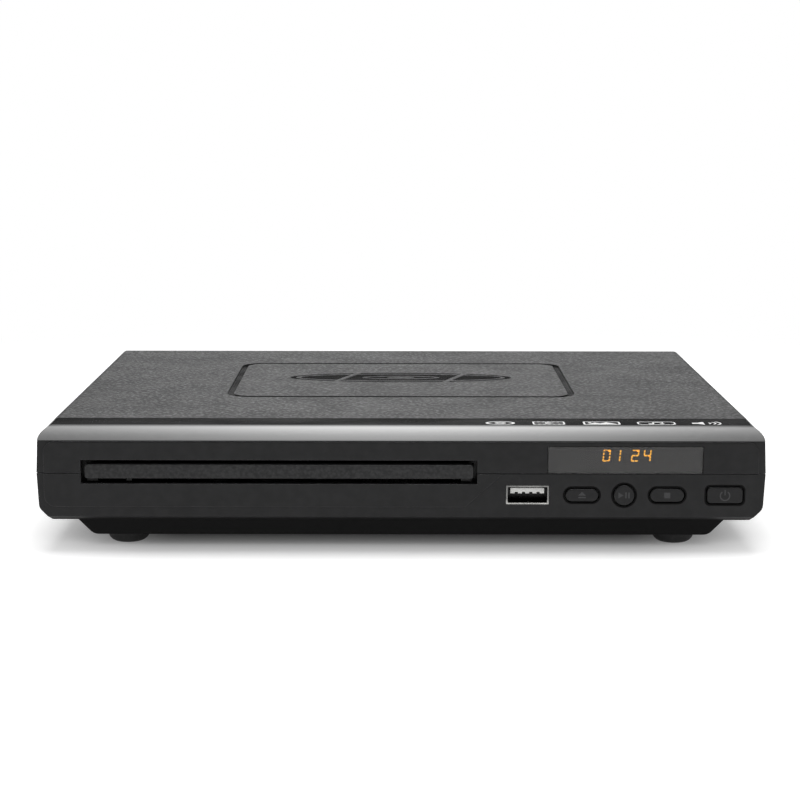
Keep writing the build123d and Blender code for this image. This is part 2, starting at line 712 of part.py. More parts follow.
def niche(grow):
    """The connector bay in the back: the hollow, or with a wall's growth its box."""
    x = (NICHE_X[0] - grow, NICHE_X[1] + grow)
    z = (NICHE_Z[0] - grow, NICHE_Z[1] + grow)
    return block(x, (HALF_D - NICHE_D - grow, HALF_D + 1 - grow), z)


def jack_x(index):
    return NICHE_X[1] - NICHE_RIGHT_GAP - JACK_HALF_W - index * JACK_PITCH


def frame_screw_places():
    """Where the loader frame is screwed down."""
    return [(LOADER_X + x, y) for x in spread(FRAME_SCREW_X) for y in FRAME_SCREW_Y]


def main_screw_places():
    inset = 4.0
    across = (MAIN_X[0] + inset, MAIN_X[1] - inset)
    along = (MAIN_Y[0] + inset, MAIN_Y[1] - inset)
    return [(x, y) for x in across for y in along]


def power_screw_places():
    inset = 4.0
    middle = (POWER_Y[0] + POWER_Y[1]) / 2
    return [(POWER_X[0] + inset, middle), (POWER_X[1] - inset, middle)]


def front_screw_places():
    inset = 2.2
    low = FRONT_BOARD_Z[0] + 2.4
    high = FRONT_BOARD_Z[1] - 3.8
    return [(FRONT_BOARD_X[0] + inset, low), (FRONT_BOARD_X[1] - inset, high)]


@cache
def lower_shell():
    """The whole lower half: bottom tub and rear panel together."""
    tub = tub_body()
    tub -= border(lower_field(), (SHELF_Z - 1, SEAM_Z))
    tub -= block(spread(INNER_HALF_W), (INNER_FRONT, INNER_BACK), (SHELF_FLOOR, SEAM_Z + 1))
    tub -= pedestal(WALL)
    tub += niche(WALL) & block(spread(HALF_W), (0, HALF_D), (SHELF_FLOOR - 0.5, TUB_HIGH))
    lip_half_w = INNER_HALF_W + WALL / 2 - FIT
    lip_y = (INNER_FRONT - WALL / 2 + FIT, INNER_BACK + WALL / 2 - FIT)
    lip = block(spread(lip_half_w), lip_y, (SEAM_Z - 3, SEAM_Z + 1.6))
    lip -= block(spread(INNER_HALF_W), (INNER_FRONT, INNER_BACK), (SEAM_Z - 4, SEAM_Z + 2))
    lip -= block((WINDOW_X[0] - 2, WINDOW_X[1] + 2), (-HALF_D, 0), (SEAM_Z - 4, SEAM_Z + 2))
    tub += lip
    for x, y in frame_screw_places():
        tub += column(BOSS_R + 0.6, x, y, (FLOOR - 0.5, DECK_Z[0]))
        tub -= column(SCREW_R + 0.02, x, y, (FLOOR + 1, DECK_Z[0] + 1))
    for x, y in main_screw_places() + power_screw_places():
        tub += column(BOSS_R, x, y, (FLOOR - 0.5, BOARD_Z))
        tub -= column(SCREW_R + 0.02, x, y, (FLOOR + 1, BOARD_Z + 1))
    x, z = front_screw_places()[0]
    tub += rod_y(BOSS_R - 0.6, x, z, (INNER_FRONT - 0.5, FRONT_BOARD_Y))
    tub -= rod_y(SCREW_R + 0.02, x, z, (INNER_FRONT + 0.5, FRONT_BOARD_Y + 1))
    tub += corner_bosses(BOSS_R, (SHELF_FLOOR - 0.5, SEAM_Z))
    tub -= corner_bosses(CASE_SCREW_R + 0.25, (0, SEAM_Z + 1))
    tub -= corner_bosses(HEAD_R + 0.3, (0, SHELF_Z + HEAD_T + 0.2))
    tub -= tray_slot((SLOT_Z[0], SEAM_Z + 2))
    usb_x = (USB_X - USB_W / 2, USB_X + USB_W / 2)
    usb_z = (CONTROL_Z - USB_H / 2, CONTROL_Z + USB_H / 2)
    tub -= block(usb_x, (-HALF_D, INNER_FRONT + 1), usb_z)
    for button in (EJECT, PLAY, STOP, POWER):
        tub -= button_opening(button, 0, (-HALF_D - 1, INNER_FRONT + 1))
    side_vents = (SIDE_VENT_COUNT - 1) * SIDE_VENT_PITCH
    for x in (-PEDESTAL_HALF_W - 1 - side_vents, PEDESTAL_HALF_W + 2):
        tub -= vent_row(x, -HALF_D + SIDE_VENT_INSET, SIDE_VENT_COUNT, SIDE_VENT_PITCH, SIDE_VENT)
    vent_x = MAIN_X[0] + FLOOR_VENT_X
    for y in FLOOR_VENT_Y:
        tub -= vent_row(vent_x, MAIN_Y[0] + y, FLOOR_VENT_COUNT, FLOOR_VENT_PITCH, FLOOR_VENT)
    tub -= niche(0)
    panel_y = (HALF_D - NICHE_D - WALL - 1, HALF_D - NICHE_D + 1)
    for index in range(JACK_COUNT):
        tub -= rod_y(COLLAR_R + FIT, jack_x(index), JACK_Z, panel_y)
    hdmi_x = (HDMI_X - HDMI_W / 2 - FIT, HDMI_X + HDMI_W / 2 + FIT)
    hdmi_z = (JACK_Z - HDMI_H / 2 - FIT, JACK_Z + HDMI_H / 2 + FIT)
    tub -= block(hdmi_x, panel_y, hdmi_z)
    inlet_x = (INLET_X - INLET_W / 2 - FIT, INLET_X + INLET_W / 2 + FIT)
    inlet_z = (JACK_Z - INLET_H / 2 - FIT, JACK_Z + INLET_H / 2 + FIT)
    tub -= block(inlet_x, (INNER_BACK - 1, HALF_D + 1), inlet_z)
    for x in spread(FOOT_X):
        for y in spread(FOOT_Y):
            tub -= column(FOOT_R + FIT, x, y, (0, PEDESTAL_Z + FOOT_SEAT))
    return tub


def panel_room(side_gap):
    """Where the rear panel stands: on the tub's floor, between its sides."""
    y = (HALF_D - NICHE_D - WALL, HALF_D + 1)
    return block(spread(INNER_HALF_W - side_gap), y, (SHELF_FLOOR, SEAM_Z + WALL))


def make_bottom_tub():
    return lower_shell() - panel_room(0)


def make_rear_panel():
    return lower_shell() & panel_room(FIT)


def make_rubber_feet():
    """Four domes with flat soles, seated in shallow pockets of the pedestal."""
    seat = PEDESTAL_Z + FOOT_SEAT
    sole = FOOT_R * 0.55
    edge = Polyline((0, 0), (sole, 0))
    edge += TangentArc((sole, 0), (FOOT_R, PEDESTAL_Z * 0.62), tangent=(1, 0))
    edge += Polyline((FOOT_R, PEDESTAL_Z * 0.62), (FOOT_R, seat), (0, seat), (0, 0))
    foot = revolve(Plane.XZ * make_face(edge), Axis.Z)
    return Compound([Pos(x, y, 0) * foot for x in spread(FOOT_X) for y in spread(FOOT_Y)])


def make_case_screws():
    """Four screws driven up from the underside into the cover's posts."""
    length = SEAM_Z + 8 - SHELF_Z - HEAD_T
    screw = Rot(180, 0, 0) * pan_screw(CASE_SCREW_R, length)
    seat = SHELF_Z + HEAD_T + 0.2
    return Compound([Pos(x, y, seat) * screw for x in spread(CASE_SCREW_X) for y in spread(CASE_SCREW_Y)])


# ---------------------------------------------------------------- front controls
def make_button(button):
    """Cap, flange behind the wall and a stem that faces its switch."""
    x, width, height = button
    front = FACE_Y - BUTTON_PROUD
    back = INNER_FRONT + FIT
    cap = button_opening(button, -BUTTON_GAP, (front, back))
    cap = fillet(cap.faces().sort_by(Axis.Y)[0].edges(), 0.35)
    flange = button_opening(button, BUTTON_FLANGE, (back, back + FLANGE_T))
    stem_end = FRONT_BOARD_Y - SWITCH_T - PLUNGER_T - BUTTON_TRAVEL - PLUNGER_GAP
    stem = rod_y(STEM_R, x, CONTROL_Z, (back, stem_end))
    return cap + flange + stem


def make_tact_switches():
    """Four push switches on the front board, plungers forward."""
    switches = []
    face = FRONT_BOARD_Y - SWITCH_T
    z = (CONTROL_Z - SWITCH_HALF_W, CONTROL_Z + SWITCH_HALF_W)
    for x, _, _ in (EJECT, PLAY, STOP, POWER):
        case = block((x - SWITCH_HALF_W, x + SWITCH_HALF_W), (face, FRONT_BOARD_Y), z)
        plunger = rod_y(PLUNGER_R, x, CONTROL_Z, (face - PLUNGER_T, face))
        switches.append(case + plunger)
    return Compound(switches)


def make_front_board():
    board = block(FRONT_BOARD_X, (FRONT_BOARD_Y, FRONT_BOARD_Y + BOARD_T), FRONT_BOARD_Z)
    for x, z in front_screw_places():
        board -= rod_y(SCREW_R + 0.1, x, z, (FRONT_BOARD_Y - 1, FRONT_BOARD_Y + BOARD_T + 1))
    cut = (USB_X - USB_W / 2 + 1.0, USB_X + USB_W / 2 - 1.0)
    board -= block(cut, (FRONT_BOARD_Y - 1, FRONT_BOARD_Y + BOARD_T + 1), (CONTROL_Z - 2.0, CONTROL_Z + 2.0))
    return board


def make_display_module():
    """Digit block on the board, close behind the smoked lens."""
    x = (WINDOW_X[0] + 11, WINDOW_X[1] - 10)
    front = INNER_FRONT + 1 + 0.2
    body = block(x, (front, FRONT_BOARD_Y), (SEAM_Z + 2.2, WINDOW_TOP_Z - 0.2))
    pitch = (x[1] - x[0]) / DIGITS
    cell_z = (SEAM_Z + 3.4, WINDOW_TOP_Z - 1.0)
    for i in range(DIGITS):
        middle = x[0] + (i + 0.5) * pitch
        body -= block((middle - CELL_HALF_W, middle + CELL_HALF_W), (front - 1, front + 0.3), cell_z)
    return body


def make_ir_receiver():
    """Remote-control eye: a small block with a round dome."""
    x = WINDOW_X[1] - 4.6
    z = (SEAM_Z + WINDOW_TOP_Z) / 2
    body = block((x - 2.6, x + 2.6), (FRONT_BOARD_Y - 2.4, FRONT_BOARD_Y), (z - 3.2, z + 3.2))
    return body + Pos(x, FRONT_BOARD_Y - 2.4, z) * Sphere(1.4)


def make_usb_shell():
    """Folded metal shell, open to the front."""
    width = USB_W - 2 * FIT
    height = USB_H - 2 * FIT
    front = FACE_Y + 0.2
    x = (USB_X - width / 2, USB_X + width / 2)
    z = (CONTROL_Z - height / 2, CONTROL_Z + height / 2)
    shell = block(x, (front, FRONT_BOARD_Y), z)
    inner_x = (x[0] + USB_SHELL_T, x[1] - USB_SHELL_T)
    inner_z = (z[0] + USB_SHELL_T, z[1] - USB_SHELL_T)
    return shell - block(inner_x, (front - 1, FRONT_BOARD_Y - USB_SHELL_T), inner_z)


def make_usb_tongue():
    """Contact carrier inside the socket, with four contact slots."""
    front = FACE_Y + 1.4
    z = (CONTROL_Z + TONGUE_LIFT, CONTROL_Z + TONGUE_LIFT + TONGUE_T)
    tongue = block((USB_X - TONGUE_W / 2, USB_X + TONGUE_W / 2), (front, FRONT_BOARD_Y - USB_SHELL_T), z)
    for i in range(4):
        x = USB_X + (i - 1.5) * CONTACT_PITCH
        cut = (x - CONTACT_HALF_W, x + CONTACT_HALF_W)
        tongue -= block(cut, (front - 1, front + CONTACT_L), (z[0] - 1, z[0] + 0.5))
    return tongue


# ---------------------------------------------------------------- disc tray
def make_disc_tray():
    """Tray with two disc recesses, a spindle window, side rails and a toothed rack."""
    half = TRAY_W / 2
    front = -HALF_D + DOOR_T + FIT
    plan = Pos(LOADER_X, (front + TRAY_BACK) / 2) * RectangleRounded(TRAY_W, TRAY_BACK - front, 2)
    tray = upright(plan, (TRAY_FLOOR[0], TRAY_TOP))
    tray -= column(DISC_R + RECESS_GAP, LOADER_X, SPINDLE_Y, (TRAY_FLOOR[1], TRAY_TOP + 1))
    tray -= column(SMALL_DISC_R, LOADER_X, SPINDLE_Y, (TRAY_FLOOR[1] - SMALL_SINK, TRAY_TOP + 1))
    for x in spread(DISC_R * 0.72):
        tray -= column(LIFT_HOLLOW_R, LOADER_X + x, SPINDLE_Y + DISC_R * 0.78, (TRAY_FLOOR[1], TRAY_TOP + 1))
    tray -= column(SPINDLE_HOLE_R, LOADER_X, SPINDLE_Y, (0, BODY_H))
    slot_x = at_loader(spread(WINDOW_SLOT_W / 2))
    window = block(slot_x, (SPINDLE_Y, TRAY_SLOT_END), (TRAY_FLOOR[0] - 1, BODY_H))
    tray -= fillet(window.edges().filter_by(Axis.Z).group_by(Axis.Y)[-1], 4)
    rail_y = (front, TRAY_BACK - 2)
    for side in (-1, 1):
        rail = sorted((side * half, side * (half - TRAY_RAIL_W)))
        tray += block(at_loader(rail), rail_y, (TRAY_BOTTOM, TRAY_FLOOR[1]))
    rib_x = -DRIVE_X - PINION_R - 2
    tray += block(at_loader((rib_x, rib_x + 1.6)), rail_y, (TRAY_BOTTOM, TRAY_FLOOR[0] + 0.2))
    finger_notch = column(FINGER_R, LOADER_X, SPINDLE_Y - DISC_R - 3, (TRAY_FLOOR[1], BODY_H))
    return tray + tray_rack() - finger_notch


def tray_rack():
    """Rack under the tray, teeth towards the drive gear, in mesh at rest."""
    # a gap of the rack faces the gear's tooth, so the rack starts whole teeth before it
    start = DRIVE_Y - RACK_SPARE_TEETH * RACK_PITCH
    rack = rack_outline(RACK_MODULE, start, RACK_TEETH, DEDENDUM * RACK_MODULE + RACK_W)
    turned = Rot(0, 0, 90) * mirror(rack, Plane.XZ)
    return Pos(RACK_X, 0, 0) * upright(turned, (TRAY_BOTTOM, TRAY_FLOOR[0] + 0.1))


def make_tray_door():
    """Door on the tray's front, with a tongue into the tray's front edge."""
    middle = (DOOR_Z[0] + DOOR_Z[1]) / 2
    face = Pos(LOADER_X, middle) * RectangleRounded(DOOR_W, DOOR_Z[1] - DOOR_Z[0], DOOR_R)
    door = along_y(face, (-HALF_D + DOOR_REVEAL, -HALF_D + DOOR_T))
    door = fillet(door.faces().sort_by(Axis.Y)[0].edges(), 0.4)
    tab_y = (-HALF_D + DOOR_T, -HALF_D + DOOR_T + FIT)
    tabs = [
        block(at_loader((x - DOOR_TAB_HALF_W, x + DOOR_TAB_HALF_W)), tab_y, (TRAY_FLOOR[0], TRAY_TOP))
        for x in (-DOOR_TAB_X, 0, DOOR_TAB_X)
    ]
    return door + Compound(tabs)


# ---------------------------------------------------------------- loader drive
def make_drive_gear():
    """Pinion for the tray's rack, wheel for the reduction, part-toothed sector below."""

    def away_from_slider(direction):
        off = (direction - 90 + 180) % 360 - 180
        return abs(off) > SECTOR_HALF_BLANK

    tiers = upright(gear_outline(RACK_MODULE, PINION_TEETH), PINION_Z)
    tiers += upright(gear_outline(WHEEL_MODULE, WHEEL_TEETH), WHEEL_Z)
    tiers += upright(gear_outline(RACK_MODULE, PINION_TEETH, 0, away_from_slider), SECTOR_Z)
    tiers += column(PINION_R - 2, 0, 0, (SECTOR_Z[0], PINION_Z[1]))
    recess = column(WHEEL_R - 2.4, 0, 0, (WHEEL_Z[1] - 0.5, WHEEL_Z[1] + 0.01))
    tiers -= recess - column(PINION_R + 1.4, 0, 0, (0, BODY_H))
    tiers -= column(POST_R + RUN_GAP, 0, 0, (0, BODY_H))
    return Pos(GEAR_X, DRIVE_Y, 0) * tiers


def pulley(radius, z):
    """A grooved disc on the Z axis."""
    middle = (z[0] + z[1]) / 2
    groove = Pos(radius + BELT_R - GROOVE_SINK, middle) * Circle(BELT_R + 0.05)
    section = outline((0, z[0]), (radius, z[0]), (radius, z[1]), (0, z[1])) - groove
    return revolve(Plane.XZ * section, Axis.Z)


def make_pulley_gear():
    """Small pinion under a grooved pulley, turned by the belt."""
    # the wheel shows this pinion a gap, so a tooth points at it
    gear = upright(gear_outline(WHEEL_MODULE, SMALL_TEETH), (WHEEL_Z[0] - 0.3, PULLEY_Z[0]))
    gear += pulley(PULLEY_R, PULLEY_Z)
    opening = column(1.9, PULLEY_R * 0.58, 0, (PULLEY_Z[0] - 1, PULLEY_Z[1] + 1))
    for spoke in range(4):
        gear -= Rot(0, 0, 90 * spoke + 45) * opening
    gear -= column(POST_R * 0.75 + RUN_GAP, 0, 0, (0, BODY_H))
    return Pos(PULLEY_X, DRIVE_Y, 0) * gear


def make_motor_pulley():
    body = pulley(MOTOR_PULLEY_R, PULLEY_Z)
    body -= column(1.0 + RUN_GAP, 0, 0, (0, BODY_H))
    return Pos(BELT_X, MOTOR_Y, 0) * body


def make_drive_belt():
    """Round belt round both pulleys: two straight runs and two arcs."""
    big = PULLEY_R + BELT_R - GROOVE_SINK
    small = MOTOR_PULLEY_R + BELT_R - GROOVE_SINK
    ahead = Vector(PULLEY_X - BELT_X, DRIVE_Y - MOTOR_Y)
    lean = math.degrees(math.asin((big - small) / ahead.length))
    aim = math.degrees(math.atan2(ahead.Y, ahead.X))

    def loop(offset):
        shape = Circle(small + offset) + Pos(ahead.length, 0) * Circle(big + offset)
        ends = []
        for side in (-1, 1):
            angle = math.radians(side * (90 + lean))
            ends.append(((small + offset) * math.cos(angle), (small + offset) * math.sin(angle)))
            reach = ahead.length + (big + offset) * math.cos(angle)
            ends.append((reach, (big + offset) * math.sin(angle)))
        shape += outline(ends[0], ends[1], ends[3], ends[2])
        return shape

    half = BELT_R * 0.7
    band = loop(half) - loop(-half)
    middle = (PULLEY_Z[0] + PULLEY_Z[1]) / 2
    belt = upright(Rot(0, 0, aim) * band, (middle - half, middle + half))
    return Pos(BELT_X, MOTOR_Y, 0) * belt


def make_loading_motor():
    """Flat can motor, its shaft carrying the small pulley."""
    can = column(MOTOR_R, BELT_X, MOTOR_Y, MOTOR_Z)
    can = fillet(can.edges().group_by(Axis.Z)[0], 1.2)
    can += column(2.6, BELT_X, MOTOR_Y, (MOTOR_Z[1], MOTOR_Z[1] + 0.9))
    can += column(1.0, BELT_X, MOTOR_Y, (MOTOR_Z[1], PULLEY_Z[1] + 0.6))
    for x in spread(4.0):
        lug_x = (BELT_X + x - 0.8, BELT_X + x + 0.8)
        lug_y = (MOTOR_Y + MOTOR_R - 0.6, MOTOR_Y + MOTOR_R + 1.4)
        can += block(lug_x, lug_y, (MOTOR_Z[0] + 2, MOTOR_Z[0] + 2.5))
    return can


def slot_outline():
    """Slanted cam slot with a level dwell at each end, in the slider's own place at rest."""
    radius = PIN_R + SLOT_GAP
    low = (0, PIN_Z - PIN_DROP)
    high = (SLIDER_TRAVEL, PIN_Z)
    points = ((-SLOT_DWELL, low[1]), low, high, (SLIDER_TRAVEL + SLOT_DWELL, high[1]))
    shape = Sketch()
    for first, last in zip(points, points[1:]):
        run = Vector(last[0] - first[0], last[1] - first[1])
        angle = math.degrees(math.atan2(run.Y, run.X))
        middle = ((first[0] + last[0]) / 2, (first[1] + last[1]) / 2)
        shape += Pos(*middle) * Rot(0, 0, angle) * SlotOverall(run.length + 2 * radius, 2 * radius)
    return shape


def make_cam_slider():
    """Sliding cam: a wall with two slanted slots, a foot on the deck and a short rack."""
    rack_back = DRIVE_Y + PINION_R + 4.0
    foot_z = (DECK_Z[1] + FIT, DECK_Z[1] + FIT + SLIDER_PLATE_T)
    margin = SLOT_DWELL + PIN_R + SLOT_GAP + SLIDER_EDGE
    left = LOADER_X - PIN_X - margin
    right = LOADER_X + PIN_X + SLIDER_TRAVEL + margin
    wall = block((left, right), (SLIDER_Y, SLIDER_Y + SLIDER_T), SLIDER_Z)
    rack_start = GEAR_X + math.sqrt((PINION_R + RACK_MODULE) ** 2 - (PINION_R - RACK_MODULE) ** 2) + 0.4
    rack_end = rack_start + SLIDER_TEETH * RACK_PITCH
    rack = Pos(0, DRIVE_Y + PINION_R) * rack_outline(RACK_MODULE, rack_start, SLIDER_TEETH, 4.0)
    slider = wall
    slider += block((left, rack_end), (rack_back - 1.2, SLIDER_Y + 0.5), foot_z)
    slider += upright(rack, foot_z)
    for x in spread(PIN_X):
        slider -= along_y(Pos(LOADER_X + x, 0) * slot_outline(), (SLIDER_Y - 1, SLIDER_Y + SLIDER_T + 1))
    return slider


# ---------------------------------------------------------------- loader frame
@cache
def whole_frame():
    """Moulded frame: deck with a well for the traverse, side walls, ledges and hooks."""
    x = at_loader(spread(FRAME_HALF_W))
    y = (FRAME_FRONT, FRAME_BACK)
    frame = block(x, y, DECK_Z)
    frame -= block(at_loader(spread(WELL_HALF_W)), WELL_Y, (0, BODY_H))
    inside = FRAME_HALF_W - FRAME_WALL
    ledge_z = (TRAY_BOTTOM - FIT - LEDGE_T, TRAY_BOTTOM - FIT)
    hook_z = (TRAY_TOP + 0.15, TRAY_TOP + 0.15 + HOOK_T)
    for side in (-1, 1):
        wall = sorted((side * FRAME_HALF_W, side * inside))
        frame += block(at_loader(wall), y, (DECK_Z[0], FRAME_TOP))
        ledge = sorted((side * inside, side * (inside - 4.2)))
        frame += block(at_loader(ledge), y, ledge_z)
        rib_pitch = (FRAME_BACK - FRAME_FRONT) / FRAME_RIBS
        for i in range(FRAME_RIBS + 1):
            rib_y = min(FRAME_FRONT + i * rib_pitch, FRAME_BACK - RIB_T)
            frame += block(at_loader(ledge), (rib_y, rib_y + RIB_T), (DECK_Z[1], ledge_z[0]))
        hook = sorted((side * inside, side * (inside - 2.6)))
        for hook_y in (FRAME_FRONT + 2, SPINDLE_Y - HOOK_L / 2, FRAME_BACK - 18):
            frame += block(at_loader(hook), (hook_y, hook_y + HOOK_L), hook_z)
    frame += column(MOTOR_R + 2.0, BELT_X, MOTOR_Y, (DECK_Z[0], MOTOR_Z[1] + 1.4))
    frame -= column(MOTOR_R + FIT, BELT_X, MOTOR_Y, (0, MOTOR_Z[1]))
    frame -= column(2.6 + FIT, BELT_X, MOTOR_Y, (0, BODY_H))
    frame += column(POST_R, GEAR_X, DRIVE_Y, (DECK_Z[0], PINION_Z[1]))
    frame += column(POST_R + 1.6, GEAR_X, DRIVE_Y, (DECK_Z[0], SECTOR_Z[0] - FIT))
    frame += column(POST_R * 0.75, PULLEY_X, DRIVE_Y, (DECK_Z[0], PULLEY_Z[1]))
    frame += column(POST_R + 1.2, PULLEY_X, DRIVE_Y, (DECK_Z[0], WHEEL_Z[0] - 0.4))
    for side in (-1, 1):
        bearing = sorted((side * (LIFT_HALF_W + 0.8), side * (WELL_HALF_W + 1)))
        frame += block(at_loader(bearing), (PIVOT_Y - 4.5, PIVOT_Y + 4.5), (DECK_Z[0], PIVOT_Z + 3.2))
        frame -= rod_x(PIVOT_R + RUN_GAP, PIVOT_Y, PIVOT_Z, at_loader(bearing))
        mouth = PIVOT_R * 0.8
        frame -= block(at_loader(bearing), (PIVOT_Y - mouth, PIVOT_Y + mouth), (PIVOT_Z, PIVOT_Z + 4))
    for x, y in frame_screw_places():
        frame -= column(SCREW_R + 0.2, x, y, (0, BODY_H / 2))
    for side in (-1, 1):
        pad_x = at_loader(sorted((side * FRAME_HALF_W, side * inside)))
        pad_y = (SPINDLE_Y - BRIDGE_HALF_D, SPINDLE_Y + BRIDGE_HALF_D)
        frame += block(pad_x, pad_y, (FRAME_TOP - 1, FRAME_TOP + BRIDGE_LIFT))
    return frame


def frame_stretch(x, y):
    return whole_frame() & block(at_loader(x), y, (0, BODY_H))


def make_loader_frame():
    """Front deck with the gears' posts and the motor's cup."""
    return frame_stretch(spread(FRAME_HALF_W + 1), (FRAME_FRONT - 1, WELL_Y[0]))


def make_loader_rail(side):
    """The frame beside the well: deck strip, wall, ledge, hooks and pivot bearing."""
    return frame_stretch(sorted((0, side * (FRAME_HALF_W + 1))), WELL_Y)


def make_loader_crossbar():
    """The frame behind the well."""
    return frame_stretch(spread(FRAME_HALF_W + 1), (WELL_Y[1], FRAME_BACK + 1))


def make_loader_screws():
    screw = pan_screw(SCREW_R, DECK_Z[1] - FLOOR - 1.4)
    return Compound([Pos(x, y, DECK_Z[1]) * screw for x, y in frame_screw_places()])


def bridge_z():
    low = FRAME_TOP + BRIDGE_LIFT
    return (low, low + BRIDGE_T)


def make_clamp_bridge():
    """Pressed bridge over the tray with a raised rim round the clamper's hole."""
    z = bridge_z()
    plan = Rectangle(2 * FRAME_HALF_W, 2 * BRIDGE_HALF_D)
    waist = RectangleRounded(2 * FRAME_HALF_W - 52, 9, 4)
    plan = plan - Pos(0, BRIDGE_HALF_D) * waist - Pos(0, -BRIDGE_HALF_D) * waist
    for x in spread(FRAME_HALF_W - 18):
        plan -= Pos(x, 0) * SlotOverall(18, 7, rotation=90)
    bridge = upright(plan, z)
    for side in (-1, 1):
        flange = sorted((side * (FRAME_HALF_W + FIT), side * (FRAME_HALF_W + FIT + 1)))
        bridge += block(flange, spread(BRIDGE_HALF_D - 4), (z[0] - 4, z[1]))
        reach = sorted((side * (FRAME_HALF_W - 1), side * (FRAME_HALF_W + FIT + 1)))
        bridge += block(reach, spread(BRIDGE_HALF_D - 4), z)
    bridge -= column(BRIDGE_HOLE_R, 0, 0, (0, BODY_H))
    return Pos(LOADER_X, SPINDLE_Y, 0) * bridge


def make_clamper_hub():
    """Lower half of the clamper: presses the disc on the turntable's cone."""
    neck_top = bridge_z()[1] + FIT
    hub = column(CLAMPER_R, 0, 0, (CLAMPER_BOTTOM, CLAMPER_BOTTOM + 1.5))
    hub += column(BRIDGE_HOLE_R - 1, 0, 0, (CLAMPER_BOTTOM, neck_top))
    hub -= column(CONE_R + 0.5, 0, 0, (CLAMPER_BOTTOM - 1, CLAMPER_BOTTOM + 2.2))
    hub -= column(3.0, 0, 0, (CLAMPER_BOTTOM + 2.8, neck_top + 1))
    return Pos(LOADER_X, SPINDLE_Y, 0) * hub


def make_clamper_yoke():
    """Upper half: the steel yoke that hangs the clamper in the bridge."""
    seat = bridge_z()[1] + FIT
    yoke = column(CLAMPER_R, 0, 0, (seat, seat + 0.9))
    yoke += column(8.5, 0, 0, (seat, seat + 1.9))
    yoke = fillet(yoke.edges().group_by(Axis.Z)[-1], 0.6)
    yoke += column(2.9, 0, 0, (seat - 0.6, seat))
    return Pos(LOADER_X, SPINDLE_Y, 0) * yoke


# ---------------------------------------------------------------- traverse, drawn at playing height
def grommet_places():
    return [(LOADER_X + x, y) for x in spread(GROMMET_X) for y in GROMMET_Y]


def make_lift_frame():
    """Tilting ring round the traverse plate: pivots at the back, cam pins at the front."""
    outer = block(at_loader(spread(LIFT_HALF_W)), LIFT_Y, LIFT_Z)
    inner_y = (LIFT_Y[0] + LIFT_WALL, LIFT_Y[1] - LIFT_WALL)
    ring = outer - block(at_loader(spread(LIFT_HALF_W - LIFT_WALL)), inner_y, (0, BODY_H))
    for x, y in grommet_places():
        out = 1 if x > LOADER_X else -1
        reach = sorted((x - out * 1.5, LOADER_X + out * (LIFT_HALF_W - 1)))
        ring += block(reach, (y - GROMMET_R, y + GROMMET_R), (LIFT_Z[0], LIFT_Z[0] + 1.4))
        ring += column(GROMMET_R, x, y, (LIFT_Z[0], LIFT_Z[0] + 1.4))
        ring -= column(SCREW_R + 0.02, x, y, (0, BODY_H))
    for side in (-1, 1):
        pivot = sorted((side * (LIFT_HALF_W - 1), side * (WELL_HALF_W + 0.6)))
        ring += rod_x(PIVOT_R, PIVOT_Y, PIVOT_Z, at_loader(pivot))
    for x in spread(PIN_X):
        ring += rod_y(PIN_R, LOADER_X + x, PIN_Z, (LIFT_Y[0] - PIN_L, LIFT_Y[0] + 1))
    return lowered(ring)


def make_traverse_plate():
    """Pressed steel plate: motor seat, pickup opening, rod and screw holders."""
    size = (2 * PLATE_HALF_W, PLATE_Y[1] - PLATE_Y[0])
    plan = Pos(LOADER_X, sum(PLATE_Y) / 2) * RectangleRounded(*size, 3)
    plate = upright(plan, PLATE_Z)
    plate -= block(at_loader(spread(PLATE_OPEN_HALF_W)), PLATE_OPEN_Y, (0, BODY_H))
    plate -= block(at_loader((SCREW_X - 1.9, -PLATE_OPEN_HALF_W + 1)), PLATE_OPEN_Y, (0, BODY_H))
    motor_x = at_loader((SCREW_X - 3.6, SCREW_X + 3.6))
    plate -= block(motor_x, (PLATE_OPEN_Y[0] - 16.5, PLATE_OPEN_Y[0] - 3), (0, BODY_H))
    plate -= column(8.2, LOADER_X, SPINDLE_Y, (0, BODY_H))
    ends = ((PLATE_OPEN_Y[0] - 2.6, PLATE_OPEN_Y[0]), (PLATE_OPEN_Y[1], PLATE_OPEN_Y[1] + 2.6))
    for y in ends:
        for x in spread(ROD_X):
            plate += block(at_loader((x - 2.8, x + 2.8)), y, (PLATE_Z[0], ROD_Z + ROD_R + 1))
            plate -= rod_y(ROD_R + 0.02, LOADER_X + x, ROD_Z, (y[0] - 1, y[1] + 1))
        plate += block(at_loader((SCREW_X - 2.6, SCREW_X + 2.6)), y, (PLATE_Z[0], SCREW_Z + LEAD_R + 1))
        plate -= rod_y(LEAD_R * 0.6 + RUN_GAP, LOADER_X + SCREW_X, SCREW_Z, (y[0] - 1, y[1] + 1))
    for x, y in grommet_places():
        plate -= column(2.6, x, y, (0, BODY_H))
    return lowered(plate)


def make_damper_grommets():
    """Waisted rubber dampers between the lift frame and the plate."""
    low = LIFT_Z[0] + 1.4
    high = PLATE_Z[1] + 1.4
    waist = 2.55
    section = outline(
        (SCREW_R + 0.25, low),
        (GROMMET_R, low),
        (GROMMET_R, PLATE_Z[0]),
        (waist, PLATE_Z[0]),
        (waist, PLATE_Z[1]),
        (GROMMET_R, PLATE_Z[1]),
        (GROMMET_R, high),
        (SCREW_R + 0.25, high),
    )
    grommet = revolve(Plane.XZ * section, Axis.Z)
    return lowered(Compound([Pos(x, y, 0) * grommet for x, y in grommet_places()]))


def make_damper_screws():
    high = PLATE_Z[1] + 1.4
    screw = pan_screw(SCREW_R, high - LIFT_Z[0], 3.0, 1.0)
    return lowered(Compound([Pos(x, y, high) * screw for x, y in grommet_places()]))


